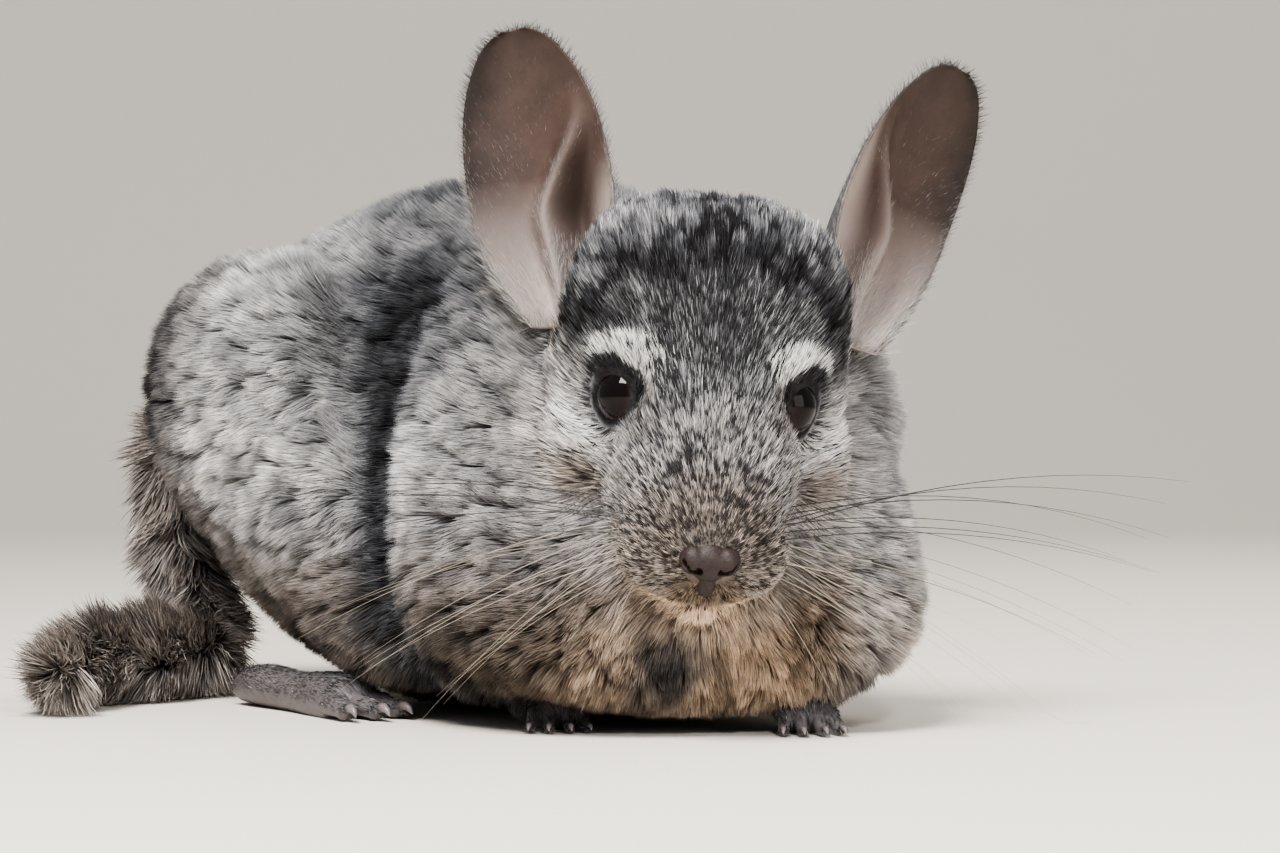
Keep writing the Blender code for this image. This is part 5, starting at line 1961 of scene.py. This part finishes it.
class CHINCHILLA_OT_paw_hair(Operator):
    """Grow the short hair on top of the feet"""

    bl_idname = "chinchilla.paw_hair"
    bl_label = "Paw hair"

    def execute(self, context):
        rng = np.random.default_rng(RNG_SEED + 2)
        skin = bpy.data.objects["skin"]
        points, normals = points_of(skin), normals_of(skin)
        mask = vertices_with(skin, "paw skin")
        density = mask * PAW_TUFTS * ramp(normals[:, 2], -0.2, 0.4)
        density = density * 1.0
        corners, weights = roots_on(skin, density, rng, lambda c: mask[c].min(axis=1))
        roots, n = taken(points, corners, weights), unit(taken(normals, corners, weights))
        forward = np.where((roots[:, 1] > 0)[:, None], HIND_HAIR_WAY, FRONT_HAIR_WAY)
        count = len(roots)
        way = unit(forward - n * np.sum(forward * n, axis=1, keepdims=True))
        look = {
            "length": rng.uniform(1.6, 3.4, count) * MM,
            "width": np.full(count, PAW_TUFT_WIDTH * MM),
            "lift": np.radians(rng.uniform(8, 22, count)),
            "light": np.clip(0.38 + rng.normal(0, 0.13, count), 0, 1),
            "warm": np.full(count, 0.15), "bend": np.full(count, 0.7),
            "pull": np.zeros(count), "tips": roots.copy(),
        }
        places = octahedron(unit(roots - np.array((-5, 10, 8)) * MM))
        floor = LOWEST_FOOT * MM
        piece = tufts("paw_hair", roots, n, way, look, rng, places, parts=2, floor=floor)
        use(piece, material_named("coat hair", lambda: coat_material(colours())))
        dressed(piece, "paw_skin")
        return {"FINISHED"}


class CHINCHILLA_OT_eyes(Operator):
    """Make the glossy eyes"""

    bl_idname = "chinchilla.eyes"
    bl_label = "Eyes"

    def execute(self, context):
        made = material_named("glossy eye", lambda: eye_material(colours()))
        for side, word in ((1, "left"), (-1, "right")):
            look = eye_outlook(side).to_track_quat("Z", "Y").to_matrix().to_4x4()
            placed = Matrix.Translation(eye_centre(side)) @ look
            radius = details().eye_radius / MM
            eye = ball((0, 0, 0), (radius,) * 3, placed, around=64, rings=40)
            eye.name = f"eyeball_{word}"
            points = points_of(eye) - np.array(eye_centre(side))
            along = points @ np.array(eye_outlook(side)) / (radius * MM)
            set_values(eye, "from_axis", np.arccos(np.clip(along, -1, 1)) / (np.pi / 2))
            eye.data.shade_smooth()
            use(eye, made)
            dressed(eye, "eye", f"eye_{word}")
        return {"FINISHED"}


# Whiskers: the first root in millimetres, its step from column to column and down the pad
WHISKER_ROOT = (36.5, 11.6, -6.5)
WHISKER_COLUMNS = 4
COLUMN_BACK, COLUMN_ASIDE, PAD_HEIGHT = 3.1, 0.9, 11.5
# The whiskers on the left are longer; the low ones and those in front are shorter
LEFT_LONGER, LOW_SHORTER, FRONT_SHORTER = 1.12, 0.52, 0.05
# Rise over the level and turn backwards in degrees: of the first one, and the change down the pad
TOP_LIFT, LIFT_CHANGE = 17, 48
FIRST_BACK, BACK_BY_COLUMN, BACK_CHANGE = 16, 6, 6
DROOP, SWEEP = 0.22, 0.10
WHISKER_STEPS = 12
COAT_CLEARANCE = 9
TURN_STEP = math.radians(4)


def whisker_line(start, side, length, lift, back):
    """A whisker leaves its pad sideways, sweeps back and droops at its tip."""
    forward, left = heading(HEAD_TURN)
    out = left * side * math.cos(back) - forward * math.sin(back)
    way = out * math.cos(lift) + UP * math.sin(lift)
    line = []
    for k in range(WHISKER_STEPS + 1):
        share = k / WHISKER_STEPS
        point = start + way * (length * share - 2 * MM * (1 - share))
        bend = length * share * share
        point += UP * (-DROOP * bend) - forward * (SWEEP * bend)
        point.z = max(point.z, 2.0 * MM)
        line.append(point)
    return line


def near_skin(line, tree):
    """Whether a line comes closer to the skin than its coat is thick."""
    for point in line:
        spot, normal, _, distance = tree.find_nearest(point)
        if (point - spot).dot(normal) < 0 or distance < COAT_CLEARANCE * MM:
            return True
    return False


def whisker(side, i, tree, rng):
    """One whisker, turned forwards until it clears the coat."""
    share, column = i / (details().whiskers - 1), i % WHISKER_COLUMNS
    ahead, aside, above = WHISKER_ROOT
    aside = side * (aside + COLUMN_ASIDE * column)
    root = HEAD @ at(ahead - COLUMN_BACK * column, aside, above - PAD_HEIGHT * share)
    reach = rng.uniform(0.95, 1.0) if share < 0.3 else rng.uniform(0.82, 1.0)
    in_front = FRONT_SHORTER * (WHISKER_COLUMNS - 1 - column)
    length = details().whisker_length * (1 - LOW_SHORTER * share - in_front) * reach
    length *= LEFT_LONGER if side > 0 else 1.0
    lift = math.radians(TOP_LIFT - LIFT_CHANGE * share + rng.normal(0, 3))
    turned = FIRST_BACK + BACK_BY_COLUMN * column - BACK_CHANGE * share
    back = math.radians(turned + rng.normal(0, 3))
    line = whisker_line(root, side, length, lift, back)
    while near_skin(line[4:], tree) and back > -1.0:
        back -= TURN_STEP
        line = whisker_line(root, side, length, lift, back)
    radius = details().whisker_radius * (1 - 0.6 * share)
    radii = [radius * (1 - 0.85 * k / WHISKER_STEPS) for k in range(WHISKER_STEPS + 1)]
    hair = tube("whisker", line, radii, sides=5)
    pale = min(1.0, max(0.0, (share - 0.35) * 4 + rng.normal(0, 0.2)))
    set_values(hair, "pale", np.full(len(hair.data.vertices), pale))
    return hair


class CHINCHILLA_OT_whiskers(Operator):
    """Set the whiskers in the pads of the muzzle"""

    bl_idname = "chinchilla.whiskers"
    bl_label = "Whiskers"

    def execute(self, context):
        rng = np.random.default_rng(RNG_SEED + 3)
        tree = tree_of(bpy.data.objects["skin"])
        count = details().whiskers
        pieces = [whisker(side, i, tree, rng) for side in (1, -1) for i in range(count)]
        whole = joined("whiskers", pieces)
        whole.data.shade_smooth()
        use(whole, material_named("whisker", lambda: whisker_material(colours())))
        dressed(whole, "coat_slate")
        return {"FINISHED"}


# Stage: the view's heading on the floor and the lights' aim
VIEW_HEADING = Vector((0.669, 0.743, 0)).normalized()
VIEW_ACROSS = Vector((VIEW_HEADING.y, -VIEW_HEADING.x, 0))
CAMERA_PLACE = Vector((-603.6, -689.5, 75.0)) * MM
CAMERA_PITCH = math.radians(1.0)
SENSOR_WIDTH = 36.0
LIGHTS_AIM = Vector((-10, -30, 60)) * MM
LIGHTS = [
    # name, ahead, across and up in metres from the aim, power setting and share of it, size, colour
    ("key light", (-0.50, -0.25, 0.80), "key", 1.0, 0.40, (1.0, 0.97, 0.93)),
    ("catch light", (-0.80, 0.16, 0.42), "fill", 1.3, 0.08, (1.0, 1.0, 1.0)),
    ("fill light", (-0.55, 0.75, 0.25), "fill", 1.0, 0.6, (1.0, 0.93, 0.86)),
    ("rim light", (0.45, 0.35, 0.6), "fill", 0.9, 0.5, (1.0, 0.95, 0.88)),
]
SURROUND_COLOUR = (0.93, 0.96, 1.0, 1.0)
# The floor in metres: half width, start and end of its flat part, radius of its bend, height
FLOOR_HALF_WIDTH, FLOOR_START, FLOOR_END = 3.0, -3.0, 0.9
BEND_RADIUS, BEND_STEPS, WALL_HEIGHT = 0.6, 12, 3.0


def sweep_mesh():
    """A floor that bends up into a wall behind."""
    profile = [(FLOOR_START, 0.0), (FLOOR_END, 0.0)]
    for k in range(1, BEND_STEPS + 1):
        turn = math.radians(90 * k / BEND_STEPS)
        height = BEND_RADIUS - BEND_RADIUS * math.cos(turn)
        profile.append((FLOOR_END + BEND_RADIUS * math.sin(turn), height))
    profile.append((FLOOR_END + BEND_RADIUS, WALL_HEIGHT))
    points, faces = [], []
    for reach, height in profile:
        for wide in (-FLOOR_HALF_WIDTH, FLOOR_HALF_WIDTH):
            points.append(VIEW_HEADING * reach + VIEW_ACROSS * wide + UP * height)
    for k in range(len(profile) - 1):
        faces.append((2 * k, 2 * k + 1, 2 * k + 3, 2 * k + 2))
    return mesh_object("studio_sweep", points, faces)


class CHINCHILLA_OT_stage(Operator):
    """Set the floor, the lights and the camera"""

    bl_idname = "chinchilla.stage"
    bl_label = "Stage"

    def execute(self, context):
        scene = context.scene
        stage = scene.chinchilla_stage
        sweep = sweep_mesh()
        sweep.data.shade_smooth()
        use(sweep, floor_material(stage.floor))

        world = bpy.data.worlds.new("surround")
        world.use_nodes = True
        background = world.node_tree.nodes["Background"]
        background.inputs["Color"].default_value = SURROUND_COLOUR
        background.inputs["Strength"].default_value = stage.surround
        scene.world = world
        scene.view_settings.look = "AgX - Medium High Contrast"

        for name, (ahead, across, above), setting, share, size, colour in LIGHTS:
            data = bpy.data.lights.new(name, "AREA")
            data.energy = getattr(stage, setting) * share
            data.size = size
            data.color = colour
            light = bpy.data.objects.new(name, data)
            place = VIEW_HEADING * ahead + VIEW_ACROSS * across + UP * above
            light.location = LIGHTS_AIM + place
            light.rotation_euler = (-place).to_track_quat("-Z", "Y").to_euler()
            scene.collection.objects.link(light)

        lens = bpy.data.cameras.new("camera")
        lens.lens = stage.lens
        lens.sensor_width = SENSOR_WIDTH
        lens.clip_start, lens.clip_end = 0.01, 20.0
        camera = bpy.data.objects.new("camera", lens)
        camera.location = CAMERA_PLACE
        view = VIEW_HEADING * math.cos(CAMERA_PITCH) - UP * math.sin(CAMERA_PITCH)
        camera.rotation_euler = view.to_track_quat("-Z", "Y").to_euler()
        scene.collection.objects.link(camera)
        scene.camera = camera
        return {"FINISHED"}


OPERATORS = (
    CHINCHILLA_OT_skin,
    CHINCHILLA_OT_coat,
    CHINCHILLA_OT_ear_hair,
    CHINCHILLA_OT_paw_hair,
    CHINCHILLA_OT_eyes,
    CHINCHILLA_OT_whiskers,
    CHINCHILLA_OT_stage,
)


class CHINCHILLA_PT_panel(Panel):
    """Pieces of the chinchilla"""

    bl_label = "Chinchilla"
    bl_idname = "CHINCHILLA_PT_panel"
    bl_space_type = "VIEW_3D"
    bl_region_type = "UI"
    bl_category = "Chinchilla"

    def draw(self, context):
        for place, group in GROUPS.items():
            box = self.layout.box()
            for name in group.__annotations__:
                box.prop(getattr(context.scene, place), name)
        for operator in OPERATORS:
            self.layout.operator(operator.bl_idname)


GROUPS = {
    "chinchilla_sizes": ChinchillaCoatSizes,
    "chinchilla_colours": ChinchillaColours,
    "chinchilla_details": ChinchillaDetails,
    "chinchilla_stage": ChinchillaStage,
}


def register():
    for made in (*GROUPS.values(), *OPERATORS, CHINCHILLA_PT_panel):
        bpy.utils.register_class(made)
    for name, made in GROUPS.items():
        setattr(bpy.types.Scene, name, PointerProperty(type=made))


def unregister():
    for name in GROUPS:
        delattr(bpy.types.Scene, name)
    for made in (CHINCHILLA_PT_panel, *reversed(OPERATORS), *reversed(GROUPS.values())):
        bpy.utils.unregister_class(made)


def main():
    register()
    bpy.ops.chinchilla.skin()
    bpy.ops.chinchilla.coat()
    bpy.ops.chinchilla.ear_hair()
    bpy.ops.chinchilla.paw_hair()
    bpy.ops.chinchilla.eyes()
    bpy.ops.chinchilla.whiskers()
    bpy.ops.chinchilla.stage()


if __name__ == "__main__":
    main()
